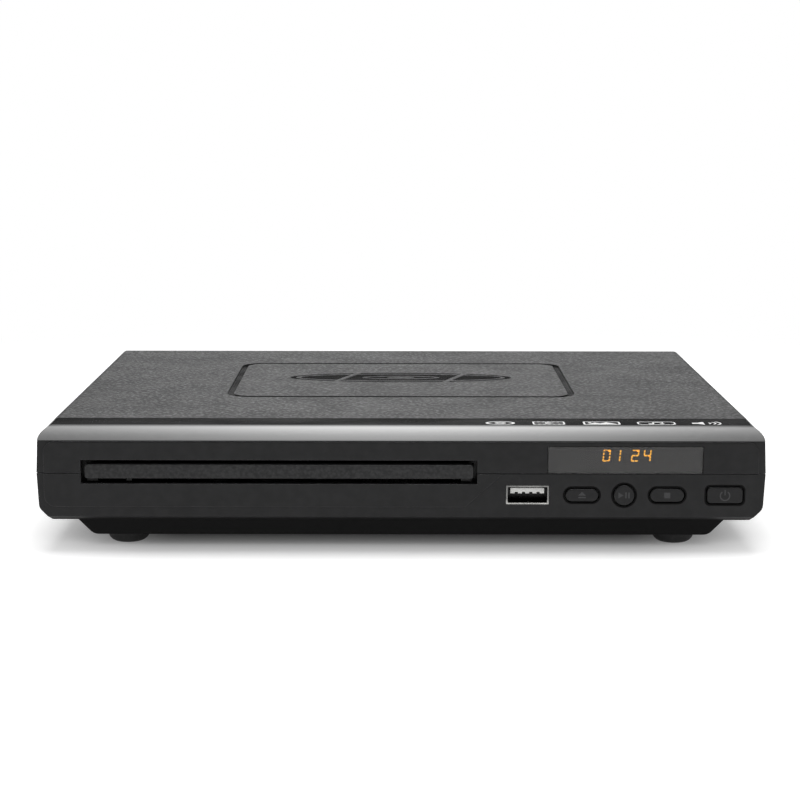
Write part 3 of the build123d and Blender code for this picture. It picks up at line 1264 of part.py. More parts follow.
def make_spindle_motor():
    """Disc motor: base under the plate, case on it, shaft up into the turntable."""
    base_x = at_loader(spread(12.5))
    motor = block(base_x, (SPINDLE_Y - 10.5, SPINDLE_Y + 10.5), (PLATE_Z[0] - 1.2, PLATE_Z[0]))
    motor += column(8.0, LOADER_X, SPINDLE_Y, (PLATE_Z[0] - 0.5, PLATE_Z[1] + 0.4))
    motor += column(SPINDLE_MOTOR_R, LOADER_X, SPINDLE_Y, (PLATE_Z[1] + 0.3, DISC_SEAT_Z - 2.9))
    motor = fillet(motor.edges().group_by(Axis.Z)[-1], 0.8)
    motor += column(1.0, LOADER_X, SPINDLE_Y, (DISC_SEAT_Z - 4, DISC_SEAT_Z + CONE_H - 0.5))
    return lowered(motor)


def make_turntable():
    """Disc seat with its centring cone, on the motor's shaft."""
    low = DISC_SEAT_Z - 2.6
    edge = Polyline(
        (1.0 + RUN_GAP, low),
        (TURNTABLE_R - 1.2, low),
        (TURNTABLE_R, low + 1.0),
        (TURNTABLE_R, DISC_SEAT_Z),
        (TURNTABLE_R - 3.4, DISC_SEAT_Z),
        (TURNTABLE_R - 3.8, DISC_SEAT_Z - 0.4),
        (CONE_R, DISC_SEAT_Z - 0.4),
        (CONE_R, DISC_SEAT_Z + 0.9),
        (CONE_R - 2.2, DISC_SEAT_Z + CONE_H),
        (1.0 + RUN_GAP, DISC_SEAT_Z + CONE_H),
        (1.0 + RUN_GAP, low),
    )
    table = revolve(Plane.XZ * make_face(edge), Axis.Z)
    return lowered(Pos(LOADER_X, SPINDLE_Y, 0) * table)


def make_guide_rods():
    ends = (PLATE_OPEN_Y[0] - 2.6, PLATE_OPEN_Y[1] + 2.6)
    rods = [rod_y(ROD_R, LOADER_X + x, ROD_Z, ends) for x in spread(ROD_X)]
    return lowered(Compound(rods))


def make_sled_motor():
    """Small stepper lying in the plate beside the spindle motor."""
    end = PLATE_OPEN_Y[0] - 3.4
    body = rod_y(3.3, LOADER_X + SCREW_X, SCREW_Z, (end - 12.5, end))
    strap_x = at_loader((SCREW_X - 4.6, SCREW_X + 4.6))
    body += block(strap_x, (end - 12, end - 1), (PLATE_Z[1], PLATE_Z[1] + 0.8))
    body -= rod_y(LEAD_R * 0.6 + RUN_GAP, LOADER_X + SCREW_X, SCREW_Z, (end - 4, end + 1))
    return lowered(body)


def make_lead_screw():
    """Shaft that moves the sled, thick between its two bearings."""
    gap = 0.3
    thin = LEAD_R * 0.6
    motor_end = PLATE_OPEN_Y[0] - 3.4
    x = LOADER_X + SCREW_X
    shaft = rod_y(thin, x, SCREW_Z, (motor_end - 3.5, PLATE_OPEN_Y[1] + 2.4))
    shaft += rod_y(LEAD_R, x, SCREW_Z, (PLATE_OPEN_Y[0] + gap, PLATE_OPEN_Y[1] - gap))
    return lowered(shaft)


def make_pickup_sled():
    """Carriage on the two rods, with a nut finger on the lead screw."""
    y = (LENS_Y - SLED_FRONT, LENS_Y + SLED_BACK)
    body = block(at_loader(spread(SLED_HALF_W)), y, SLED_Z)
    body -= block(at_loader(spread(8.0)), (LENS_Y - 6.5, LENS_Y + 6.5), (SLED_Z[1] - 2, BODY_H))
    for x in spread(SLED_HALF_W):
        corner = (x, x - 7) if x > 0 else (x - 1, x + 6)
        body -= block(at_loader(sorted(corner)), (y[0] + 6, y[1] - 6), (SLED_Z[0] - 1, SLED_Z[0] + 1.4))
    body -= rod_y(ROD_R + 0.05, LOADER_X - ROD_X, ROD_Z, (y[0] - 1, y[1] + 1))
    slot = ROD_R + 0.05
    slot_x = at_loader((ROD_X - slot, SLED_HALF_W + 1))
    body -= block(slot_x, (y[0] - 1, y[1] + 1), (ROD_Z - slot, ROD_Z + slot))
    finger_x = (SCREW_X - 1.8, -SLED_HALF_W + 0.5)
    middle = (y[0] + y[1]) / 2
    body += block(at_loader(finger_x), (middle - 3, middle + 3), (SCREW_Z - 2.2, SCREW_Z + 2.4))
    body -= rod_y(LEAD_R + 0.06, LOADER_X + SCREW_X, SCREW_Z, (y[0] - 1, y[1] + 1))
    return lowered(body)


def make_pickup_lens():
    """Lens in its round holder on the sled."""
    holder = Pos(LOADER_X, LENS_Y, 0) * column(5.0, 0, 0, (SLED_Z[1] - 2, LENS_Z - 1.0))
    holder += block(at_loader(spread(7.0)), (LENS_Y - 5.5, LENS_Y + 5.5), (SLED_Z[1] - 2, SLED_Z[1] + 0.4))
    dome = Pos(LOADER_X, LENS_Y, LENS_Z - 5.2) * Sphere(5.2)
    cap = dome & column(2.6, LOADER_X, LENS_Y, (LENS_Z - 1.0, LENS_Z + 1))
    return lowered(holder + cap)


# ---------------------------------------------------------------- electronics
def screw_down(places, top):
    screw = pan_screw(SCREW_R, top - FLOOR - 1.4)
    return [Pos(x, y, top) * screw for x, y in places]


def make_main_board():
    board = block(MAIN_X, MAIN_Y, (BOARD_Z, BOARD_TOP))
    for x, y in main_screw_places():
        board -= column(SCREW_R + 0.1, x, y, (0, BODY_H))
    return board


def make_board_screws():
    screws = screw_down(main_screw_places() + power_screw_places(), BOARD_TOP)
    across = Rot(-90, 0, 0) * pan_screw(SCREW_R, FRONT_BOARD_Y + BOARD_T - INNER_FRONT - 0.6)
    for x, z in front_screw_places():
        screws.append(Pos(x, FRONT_BOARD_Y + BOARD_T, z) * across)
    return Compound(screws)


def chip(x, y, width, depth, height):
    package = Pos(MAIN_X[0] + x, MAIN_Y[0] + y, BOARD_TOP + height / 2) * Box(width, depth, height)
    return chamfer(package.edges().group_by(Axis.Z)[-1], 0.3)


def make_board_chips():
    """Decoder, memory and drive chips on the main board."""
    return Compound([chip(*place) for place in CHIPS])


def capacitor(x, y, radius, height):
    can = Pos(x, y, BOARD_TOP + height / 2) * Cylinder(radius, height)
    can = fillet(can.edges().group_by(Axis.Z)[-1], 0.5)
    return can - Pos(x, y, BOARD_TOP + height) * Box(radius * 1.2, 0.4, 0.5)


def make_main_capacitors():
    return Compound([capacitor(MAIN_X[0] + x, MAIN_Y[0] + y, *size) for x, y, *size in MAIN_CANS])


def barrel_y():
    """Front and back of the metal barrels that a plug slides over."""
    return (HALF_D - NICHE_D + JACK_NECK, HALF_D - JACK_SINK)


def make_av_jacks():
    """Row of round sockets: one moulded block, one barrel a socket."""
    back = HALF_D - NICHE_D - WALL
    x = (jack_x(JACK_COUNT - 1) - JACK_HALF_W, jack_x(0) + JACK_HALF_W)
    body = block(x, (back - 11, back), (BOARD_TOP, JACK_Z + 5.5))
    foot, end = barrel_y()
    for index in range(JACK_COUNT):
        x_jack = jack_x(index)
        body += rod_y(COLLAR_R, x_jack, JACK_Z, (back - 1, HALF_D - NICHE_D))
        body += rod_y(JACK_R - JACK_NECK, x_jack, JACK_Z, (back, foot))
        body += rod_y(JACK_R, x_jack, JACK_Z, (foot, end))
        body -= rod_y(JACK_HOLE_R, x_jack, JACK_Z, (back - 2, HALF_D + 1))
    return body


def make_hdmi_port():
    """Flat metal socket with cut-off lower corners and a contact tongue."""
    back = HALF_D - NICHE_D - WALL
    half = HDMI_W / 2
    low = JACK_Z - HDMI_H / 2
    high = JACK_Z + HDMI_H / 2

    def ring(inset):
        return outline(
            (HDMI_X - half + inset, high - inset),
            (HDMI_X - half + inset, low + 1.8),
            (HDMI_X - half + 2 + inset / 2, low + inset),
            (HDMI_X + half - 2 - inset / 2, low + inset),
            (HDMI_X + half - inset, low + 1.8),
            (HDMI_X + half - inset, high - inset),
        )

    port = along_y(ring(0), (back - 10, HALF_D - NICHE_D + 1.4))
    port -= along_y(ring(0.4), (back - 9, HALF_D))
    port += block((HDMI_X - 5.5, HDMI_X + 5.5), (back - 9.5, back + 1), (JACK_Z + 0.1, JACK_Z + 0.9))
    port += block((HDMI_X - 4, HDMI_X + 4), (back - 9, back - 3), (BOARD_TOP, low + 0.2))
    return port


def make_power_board():
    board = block(POWER_X, POWER_Y, (BOARD_Z, BOARD_TOP))
    for x, y in power_screw_places():
        board -= column(SCREW_R + 0.1, x, y, (0, BODY_H))
    return board


def make_transformer():
    """Switching transformer: wound bobbin between two core halves."""
    x = (POWER_X[0] + POWER_X[1]) / 2
    y = (POWER_Y[0] + POWER_Y[1]) / 2
    low = BOARD_TOP + BOBBIN_FOOT
    inner_x = (x - CORE_HALF_W + CORE_WALL, x + CORE_HALF_W - CORE_WALL)
    inner_z = (low + CORE_WALL, low + CORE_H - CORE_WALL)
    core = block((x - CORE_HALF_W, x + CORE_HALF_W), (y - CORE_HALF_D, y + CORE_HALF_D), (low, low + CORE_H))
    core -= block(inner_x, (y - CORE_HALF_D - 1, y + CORE_HALF_D + 1), inner_z)
    winding_d = CORE_HALF_D * 2
    wound = block(inner_x, (y - winding_d, y + winding_d), inner_z)
    wound = fillet(wound.edges().filter_by(Axis.Z), 2)
    foot_x = (x - CORE_HALF_W + 1, x + CORE_HALF_W - 1)
    foot = block(foot_x, (y - winding_d - 1, y + winding_d + 1), (BOARD_TOP, low))
    return core + wound + foot


def make_power_capacitors():
    middle = (POWER_Y[0] + POWER_Y[1]) / 2
    return Compound([capacitor(POWER_X[0] + x, middle + y, *size) for x, y, *size in POWER_CANS])


def make_mains_inlet():
    """Two-pin mains inlet, its flange flush with the back wall."""
    z = (JACK_Z - INLET_H / 2, JACK_Z + INLET_H / 2)
    x = (INLET_X - INLET_W / 2, INLET_X + INLET_W / 2)
    body = block(x, (HALF_D - INLET_CAVITY[2] - 3, HALF_D - 0.1), z)
    lobe = INLET_CAVITY[1] / 2 - 0.01
    mouth = RectangleRounded(INLET_CAVITY[0], INLET_CAVITY[1], lobe)
    body -= along_y(Pos(INLET_X, JACK_Z) * mouth, (HALF_D - INLET_CAVITY[2], HALF_D + 1))
    for side in spread(4.3):
        body += rod_y(1.2, INLET_X + side, JACK_Z, (HALF_D - INLET_CAVITY[2] - 1, HALF_D - 1.2))
    return body


def make_flat_cable():
    """Ribbon from the main board up to the back of the front board."""
    back = FRONT_BOARD_Y + BOARD_T
    bend = back + CABLE_FLAT
    foot = bend + CABLE_SLOPE
    end = MAIN_Y[0] + CABLE_LAP
    low = BOARD_TOP + CABLE_T
    high = BOARD_TOP + CABLE_RISE
    path = outline(
        (back, high - CABLE_T),
        (bend, high - CABLE_T),
        (foot, BOARD_TOP),
        (end, BOARD_TOP),
        (end, low),
        (foot + CABLE_T, low),
        (bend + CABLE_T, high),
        (back, high),
    )
    left = MAIN_X[0] + CABLE_X
    return along_x(path, (left, left + CABLE_W))


# ---------------------------------------------------------------- writing the pieces
PIECES = {
    "top_cover": make_top_cover,
    "bottom_tub": make_bottom_tub,
    "rear_panel": make_rear_panel,
    "gloss_strip": make_gloss_strip,
    "top_motif": make_top_motif,
    "display_window": window_body,
    "rubber_feet": make_rubber_feet,
    "case_screws": make_case_screws,
    "eject_button": lambda: make_button(EJECT),
    "play_button": lambda: make_button(PLAY),
    "stop_button": lambda: make_button(STOP),
    "power_button": lambda: make_button(POWER),
    "tact_switches": make_tact_switches,
    "front_board": make_front_board,
    "display_module": make_display_module,
    "ir_receiver": make_ir_receiver,
    "usb_shell": make_usb_shell,
    "usb_tongue": make_usb_tongue,
    "disc_tray": make_disc_tray,
    "tray_door": make_tray_door,
    "drive_gear": make_drive_gear,
    "pulley_gear": make_pulley_gear,
    "motor_pulley": make_motor_pulley,
    "drive_belt": make_drive_belt,
    "loading_motor": make_loading_motor,
    "cam_slider": make_cam_slider,
    "loader_frame": make_loader_frame,
    "loader_rail_left": lambda: make_loader_rail(-1),
    "loader_rail_right": lambda: make_loader_rail(1),
    "loader_crossbar": make_loader_crossbar,
    "loader_screws": make_loader_screws,
    "clamp_bridge": make_clamp_bridge,
    "clamper_hub": make_clamper_hub,
    "clamper_yoke": make_clamper_yoke,
    "lift_frame": make_lift_frame,
    "traverse_plate": make_traverse_plate,
    "damper_grommets": make_damper_grommets,
    "damper_screws": make_damper_screws,
    "spindle_motor": make_spindle_motor,
    "turntable": make_turntable,
    "guide_rods": make_guide_rods,
    "sled_motor": make_sled_motor,
    "lead_screw": make_lead_screw,
    "pickup_sled": make_pickup_sled,
    "pickup_lens": make_pickup_lens,
    "main_board": make_main_board,
    "board_chips": make_board_chips,
    "main_capacitors": make_main_capacitors,
    "board_screws": make_board_screws,
    "av_jacks": make_av_jacks,
    "hdmi_port": make_hdmi_port,
    "power_board": make_power_board,
    "transformer": make_transformer,
    "power_capacitors": make_power_capacitors,
    "mains_inlet": make_mains_inlet,
    "flat_cable": make_flat_cable,
}

os.makedirs("parts", exist_ok=True)
for name, make in PIECES.items():
    export_step(make(), f"parts/{name}.step")
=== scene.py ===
import math
import random

import bmesh
import bpy
from mathutils import Matrix, Vector


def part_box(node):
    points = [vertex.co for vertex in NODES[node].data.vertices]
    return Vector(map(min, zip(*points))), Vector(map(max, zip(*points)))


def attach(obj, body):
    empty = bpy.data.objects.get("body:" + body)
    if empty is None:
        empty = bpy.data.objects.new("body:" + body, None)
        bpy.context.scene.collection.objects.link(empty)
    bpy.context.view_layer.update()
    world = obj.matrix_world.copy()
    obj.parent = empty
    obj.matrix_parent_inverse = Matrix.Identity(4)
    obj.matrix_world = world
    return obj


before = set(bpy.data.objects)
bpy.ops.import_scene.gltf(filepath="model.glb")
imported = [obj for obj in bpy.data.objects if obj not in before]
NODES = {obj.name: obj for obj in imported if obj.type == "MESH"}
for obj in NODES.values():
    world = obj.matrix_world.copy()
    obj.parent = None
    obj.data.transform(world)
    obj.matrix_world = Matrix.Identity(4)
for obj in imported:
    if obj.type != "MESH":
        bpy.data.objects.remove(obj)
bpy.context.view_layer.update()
MM = 0.001
X, Y, Z = range(3)


def middle(box, axis):
    """Halfway between a box's two corners along one axis."""
    return (box[0][axis] + box[1][axis]) / 2


def in_mm(box):
    """A box's two corners in millimetres."""
    low, high = box
    return low / MM, high / MM


# boxes and places of CAD pieces, in metres
DISPLAY_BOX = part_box("display_module")
USB_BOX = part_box("usb_tongue")
BOARD_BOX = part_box("main_board")
POWER_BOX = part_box("power_board")
JACK_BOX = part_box("av_jacks")
INLET_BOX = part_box("mains_inlet")
SOCKET_Z = middle(INLET_BOX, Z)
INLET_X = middle(INLET_BOX, X)
INLET_PIN_X = 0.0043  # each pin from the inlet's middle
INLET_PIN_R = 0.0013
JACK_X = [JACK_BOX[0].x + 0.0065 + 0.014 * index for index in range(3)]
JACK_HUES = ((0.75, 0.55, 0.03), (0.75, 0.75, 0.72), (0.5, 0.02, 0.02))
JACK_CORE_R = 0.00335
JACK_BARREL_R = 0.0043
JACK_COLLAR_R = 0.0047
JACK_COLLAR_Y = 0.0888
JACK_BARREL_Y = 0.0912  # collars end and bright barrels start here
SHELL_MOUTH_Y = (-0.0992, -0.0972)  # painted shade inside the USB shell deepens between these
# below these heights the USB shell keeps its full brightness as painted light; above them it gets painted
# shade
SHELL_FLOOR_Z = (0.016, 0.0175)
CORE_Y = middle(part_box("transformer"), Y)
CORE_HALF_D = 0.00405
PIVOT = (0.042, 0.018)  # the traverse's pivot, Y and Z
LIFT_ANGLE = 4.2601  # degrees that the traverse hangs at rest
SCREW = (-0.0664, 0.02)  # the lead screw's axis at playing height, X and Z
GROOVE_PITCH = 0.0015  # of the groove drawn on the lead screw
GROOVE_Z = (0.03955, 0.0398)  # the top's recesses lie under this
TOP_FRONT_Y = -0.0738  # the strip's rear edge
PEDESTAL_Z = 0.0108
FACE_Y = -0.0982  # the painted shade round the front's openings stays in front of this

# front openings, in millimetres
BUTTON_Z = 18.7
BUTTON_OPENINGS = (  # centre, half sizes and corner
    ((59.6, BUTTON_Z), (5.75, 2.45), 2.45),
    ((73.5, BUTTON_Z), (3.75, 3.75), 3.75),
    ((87.7, BUTTON_Z), (5.95, 2.55), 2.55),
    ((106.75, BUTTON_Z), (6.2, 3.0), 1.3),
)
# width of the painted shade round the buttons
BUTTON_SHADE_WIDTH = 0.55
WINDOW_OPENING = ((73.7, 30.4), (25.4, 4.5), 0.3)
# width of the painted shade round the display window
WINDOW_SHADE_WIDTH = 0.32
DIGITS = (("0", -8.0), ("1", -4.6), ("2", 1.4), ("4", 5.4))  # each with its x from the middle
DIGIT_Z = 29.6
DIGIT_SIZE = (2.5, 4.05)
MARK_Y = -83.2  # marks printed on the strip
MARK_Z = 40.006
MARK_THICKNESS = 0.03
MARK_SQUASH = 0.95

# electronics, in millimetres
BOARD_TOP = BOARD_BOX[1].z / MM
# chips: x, y, width, depth, lead pitch, leads on four sides
CHIP_PLACES = (
    (66, 24, 24, 24, 0.8, True),
    (92, 24, 11, 18, 0.8, False),
    (66, -4, 8, 10, 1.27, False),
    (88, -6, 14, 9, 1.0, False),
)
HEADERS = ((38.6, 26.0, 5, 90), (38.6, 62.0, 4, 90), (18.0, 72.5, 3, 0))  # x, y, pins, turn
CRYSTAL = (75.5, 4.5)
RIBBON_SOCKET = ((64.2, -22.6), (83.8, -17.8))
FILM_BODY = ((-43.6, 76.0), (-35.4, 88.0))
RECTIFIER_X = -9.0
RECTIFIER_Y = (75.5, 81.0, 86.5)
CHOKE = (2.0, 89.2)
# what already stands on the boards, as lowest and highest x and y
TAKEN = (
    (51, 81, 9, 39), (84, 100, 13, 35), (60, 72, -11, 3), (79, 97, -13, 1),  # chips and their leads
    (63, 85, -25, -16), (68, 83, 0, 9),  # ribbon socket, crystal
    (42, 50, -2, 17), (97, 107, -3, 7), (86, 102, 44, 52), (45, 55, 45, 55),  # capacitors
    (35, 45, 17, 70),  # headers
    (36, 45, -25, -15), (99, 108, -25, -15), (36, 45, 71, 81), (99, 108, 71, 81),  # screws
    (42, 103, 75, 81),  # sockets at the back
    # power board
    (-75, -66, 68, 96), (-60, -13, 68, 96), (-14, -3, 72, 92), (-4, 8, 72, 96), (6, 27, 68, 93),
)
TAKEN_MARGIN = 1.2
SMALL_PARTS = ((BOARD_BOX, 190, 2.0), (POWER_BOX, 36, 2.5))  # at most this many, on a grid of this pitch

# camera, fitted to the photograph's straight edges
LENS = 87.799
CAMERA_PLACE = (-0.0013476, -0.729728, 0.151)
CAMERA_HEADING = -0.0829  # degrees
CAMERA_DIP = 9.0711
CAMERA_ROLL = 0.10534

# studio
AMBIENT = 0.35
FLOOR_R = 20.0
FLOOR_LIFT = 0.5
CONTACT = (0.094, 0.086)  # half sizes of the painted contact shadow under the object, where the floor's lift is withheld
CONTACT_CORNER = 0.02
CONTACT_FADE = 0.05
FLOOR_NEAR = 0.3  # from here the floor's shadow fades out
FLOOR_FAR = 0.5
HOOD_R = 3.0
HOOD_DIM = 0.05
HOOD_LOW = 3.2  # strength of its light just above the horizon behind the object
HOOD_HIGH = 7.5  # and overhead
HOOD_RISE = (0.2, 0.42)  # where it comes in, as angles from that horizon
HOOD_FALL = (1.7, 2.65)  # and where it dies away in front
HOOD_MIDDLE = 0.8  # half width of its bright middle
HOOD_END = 1.4
LAMPS = (  # name, place, target, size and power
    ("overhead", (0, 0.15, 1.05), (0, 0, 0), (0.9, 0.5), 8.0),
    ("front", (0, -1.6, 1.0), (0, 0, 0.02), (1.6, 0.8), 9.0),
)

# colours that several looks share
# near-black painted as shade round openings and on the pedestal
PAINTED_SHADE_BLACK = (0.0008, 0.0008, 0.0008)
# light grey painted as a highlight along sharp edges
EDGE_HIGHLIGHT = (0.06, 0.06, 0.062)
SATIN_DARK = (0.0125, 0.0125, 0.013)
SATIN_LIGHT = (0.0165, 0.0165, 0.017)
PIN_METAL = (0.7, 0.7, 0.68)


# ---------------------------------------------------------------- material kit
class Look:
    """A node material on a Principled shader, with object coordinates in metres."""

    def __init__(self, name, color, rough, **sockets):
        self.mat = bpy.data.materials.new(name)
        self.mat.use_nodes = True
        self.tree = self.mat.node_tree
        self.nodes = self.tree.nodes
        self.shader = self.nodes["Principled BSDF"]
        self.set(**{"Base Color": color, "Roughness": rough})
        self.set(**sockets)
        self.place = self.nodes.new("ShaderNodeTexCoord").outputs["Object"]
        self.normal = None

    def edges(self, radius):
        """Rounds the shading of sharp edges, and gives one where such an edge is."""
        made = self.node("Bevel", {"Radius": radius}, samples=6)
        self.normal = made.outputs["Normal"]
        self.link(self.normal, "Normal")
        flat = self.node("NewGeometry").outputs["True Normal"]
        turn = self.node("VectorMath", {0: self.normal, 1: flat}, operation="DOT_PRODUCT")
        return self.ramp(turn.outputs["Value"], 0.9, 0.985, 1.0, 0.0)

    def within(self, value, low, high):
        """One between two limits of a coordinate, nought outside them."""
        soft = 0.00005
        rise = self.ramp(value, low - soft, low + soft)
        fall = self.ramp(value, high - soft, high + soft, 1.0, 0.0)
        return self.math("MULTIPLY", rise, fall)

    def radius(self, u, v, centre):
        """Distance from a line along the third axis."""
        a = self.math("SUBTRACT", u, centre[0])
        b = self.math("SUBTRACT", v, centre[1])
        a = self.math("MULTIPLY", a, a)
        b = self.math("MULTIPLY", b, b)
        return self.math("SQRT", self.math("ADD", a, b))

    def outside(self, u, v, centre, half, corner):
        """Distance from a rounded rectangle's outline, outside it."""
        parts = []
        for value, centre_value, size in zip((u, v), centre, half):
            away = self.math("ABSOLUTE", self.math("SUBTRACT", value, centre_value))
            parts.append(self.math("MAXIMUM", self.math("SUBTRACT", away, size - corner), 0.0))
        return self.math("SUBTRACT", self.radius(parts[0], parts[1], (0.0, 0.0)), corner)

    def set(self, **sockets):
        for key, value in sockets.items():
            socket = self.shader.inputs[key.replace("_", " ")]
            if isinstance(value, (tuple, list)) and len(value) == 3:
                value = (*value, 1.0)
            socket.default_value = value

    def node(self, kind, inputs=None, **attributes):
        made = self.nodes.new("ShaderNode" + kind)
        for key, value in attributes.items():
            setattr(made, key, value)
        for key, value in (inputs or {}).items():
            if isinstance(value, bpy.types.NodeSocket):
                self.tree.links.new(value, made.inputs[key])
            else:
                made.inputs[key].default_value = value
        return made

    def link(self, socket, target):
        self.tree.links.new(socket, self.shader.inputs[target])

    def scaled(self, x=1.0, y=1.0, z=1.0, turn=0.0):
        """Object coordinates stretched by three factors, after a turn about Z."""
        return self.node(
            "Mapping",
            {"Vector": self.place, "Scale": (x, y, z), "Rotation": (0, 0, turn)},
        ).outputs["Vector"]

    def noise(self, size, detail=2.0, rough=0.5, where=None):
        """Noise with features of about size metres."""
        made = self.node(
            "TexNoise",
            {"Vector": where or self.place, "Scale": 1.0 / size, "Detail": detail, "Roughness": rough},
        )
        return made.outputs["Fac"]

    def cells(self, size, feature="F1", where=None):
        """Distance from the middles of random cells of about size metres."""
        made = self.node("TexVoronoi", {"Vector": where or self.place, "Scale": 1.0 / size}, feature=feature)
        return made.outputs["Distance"]

    def waves(self, scale, where=None):
        """Even bands along Y."""
        made = self.node(
            "TexWave",
            {"Vector": where or self.place, "Scale": scale, "Distortion": 0.0},
            wave_type="BANDS",
            bands_direction="X",
        )
        return made.outputs["Fac"]

    def math(self, operation, a, b=0.5):
        return self.node("Math", {0: a, 1: b}, operation=operation).outputs[0]

    def ramp(self, value, low, high, a=0.0, b=1.0, smooth=True):
        """Goes from a to b as value goes from low to high."""
        kind = "SMOOTHSTEP" if smooth else "LINEAR"
        return self.node(
            "MapRange",
            {"Value": value, "From Min": low, "From Max": high, "To Min": a, "To Max": b},
            interpolation_type=kind,
        ).outputs["Result"]

    def drift(self, size, low=0.0, high=1.0):
        """Noise that wanders between two values."""
        return self.ramp(self.noise(size, 3.0), 0.3, 0.7, low, high)

    def blend(self, factor, a, b):
        """Mixes two colours."""
        made = self.node("Mix", data_type="RGBA")
        self.tree.links.new(factor, made.inputs[0])
        for index, value in ((6, a), (7, b)):
            if isinstance(value, bpy.types.NodeSocket):
                self.tree.links.new(value, made.inputs[index])
            else:
                made.inputs[index].default_value = (*value, 1.0)
        return made.outputs[2]

    def facing(self, axis="Z"):
        """How far the surface faces along an axis of the object, from -1 to 1."""
        normal = self.node("TexCoord").outputs["Normal"]
        return self.node("SeparateXYZ", {0: normal}).outputs[axis]

    def axis(self, axis):
        """One coordinate of the place on the object."""
        return self.node("SeparateXYZ", {0: self.place}).outputs[axis]

    def bump(self, height, depth, strength=1.0):
        """Adds relief of about depth metres."""
        inputs = {"Height": height, "Distance": depth, "Strength": strength}
        if self.normal is not None:
            inputs["Normal"] = self.normal
        self.normal = self.node("Bump", inputs).outputs["Normal"]
        self.link(self.normal, "Normal")

    def either(self, masks):
        """One where any of the masks is one."""
        masks = list(masks)
        whole = masks[0]
        for mask in masks[1:]:
            whole = self.math("MAXIMUM", whole, mask)
        return whole


def times(values, factor):
    return tuple(value * factor for value in values)


# ---------------------------------------------------------------- camera and light
def make_camera():
    data = bpy.data.cameras.new("camera")
    data.lens = LENS
    data.sensor_width = 36.0
    data.clip_start, data.clip_end = 0.01, 60.0
    camera = bpy.data.objects.new("camera", data)
    bpy.context.scene.collection.objects.link(camera)
    turn = (
        Matrix.Rotation(math.radians(CAMERA_HEADING), 4, "Z")
        @ Matrix.Rotation(math.radians(90 - CAMERA_DIP), 4, "X")
        @ Matrix.Rotation(math.radians(CAMERA_ROLL), 4, "Z")
    )
    camera.matrix_world = Matrix.Translation(CAMERA_PLACE) @ turn
    bpy.context.scene.camera = camera


def area_light(name, place, target, size, power):
    data = bpy.data.lights.new(name, "AREA")
    data.shape = "RECTANGLE"
    data.size, data.size_y = size
    data.energy = power
    lamp = bpy.data.objects.new(name, data)
    lamp.location = place
    lamp.rotation_euler = (Vector(target) - Vector(place)).to_track_quat("-Z", "Y").to_euler()
    lamp.visible_camera = False
    lamp.visible_glossy = False
    bpy.context.scene.collection.objects.link(lamp)


def make_world():
    """Soft even light; white where a camera, glossy or transmission ray meets it."""
    world = bpy.data.worlds.new("studio")
    world.use_nodes = True
    bpy.context.scene.world = world
    tree = world.node_tree
    ground = tree.nodes["Background"]
    ground.inputs["Color"].default_value = (1, 1, 1, 1)
    ground.inputs["Strength"].default_value = AMBIENT
    seen = tree.nodes.new("ShaderNodeBackground")
    seen.inputs["Color"].default_value = (1, 1, 1, 1)
    seen.inputs["Strength"].default_value = 1.0
    path = tree.nodes.new("ShaderNodeLightPath")
    rays = path.outputs["Is Camera Ray"]
    for ray in ("Is Glossy Ray", "Is Transmission Ray"):
        either = tree.nodes.new("ShaderNodeMath")
        either.operation = "MAXIMUM"
        tree.links.new(rays, either.inputs[0])
        tree.links.new(path.outputs[ray], either.inputs[1])
        rays = either.outputs[0]
    mix = tree.nodes.new("ShaderNodeMixShader")
    tree.links.new(rays, mix.inputs[0])
    tree.links.new(ground.outputs[0], mix.inputs[1])
    tree.links.new(seen.outputs[0], mix.inputs[2])
    tree.links.new(mix.outputs[0], tree.nodes["World Output"].inputs["Surface"])


def seen_rays(look):
    """One for camera, glossy and transmission rays."""
    path = look.node("LightPath").outputs
    rays = look.math("MAXIMUM", path["Is Camera Ray"], path["Is Glossy Ray"])
    return look.math("MAXIMUM", rays, path["Is Transmission Ray"])


def make_floor():
    """A wide white floor. Near the object it keeps the lamps' shadow, darkened under the object by a painted
    contact shadow; further out it is plain white.
    """
    mesh = bpy.data.meshes.new("floor")
    made = bmesh.new()
    bmesh.ops.create_circle(made, cap_ends=True, segments=96, radius=FLOOR_R)
    made.to_mesh(mesh)
    made.free()
    floor = bpy.data.objects.new("floor", mesh)
    bpy.context.scene.collection.objects.link(floor)
    look = Look("floor_white", (0.8, 0.8, 0.8), 0.9)
    look.set(**{"Specular IOR Level": 0.0, "Emission Color": (1, 1, 1)})
    away = look.radius(look.axis("X"), look.axis("Y"), (0.0, 0.0))
    far = look.ramp(away, FLOOR_NEAR, FLOOR_FAR)
    rays = seen_rays(look)
    under = look.outside(look.axis("X"), look.axis("Y"), (0.0, 0.0), CONTACT, CONTACT_CORNER)
    # painted shadow: the lift is withheld under the object's footprint, so the floor there is darker whatever
    # the lamps do
    lift = look.ramp(under, -CONTACT_CORNER, CONTACT_FADE, 0.0, FLOOR_LIFT)
    look.link(look.math("MULTIPLY", rays, lift), "Emission Strength")
    white = look.node("Emission", {"Color": (1, 1, 1, 1), "Strength": 1.0}).outputs[0]
    plain = look.math("MULTIPLY", rays, far)
    both = look.node("MixShader", {0: plain, 1: look.shader.outputs[0], 2: white}).outputs[0]
    look.tree.links.new(both, look.nodes["Material Output"].inputs["Surface"])
    mesh.materials.append(look.mat)


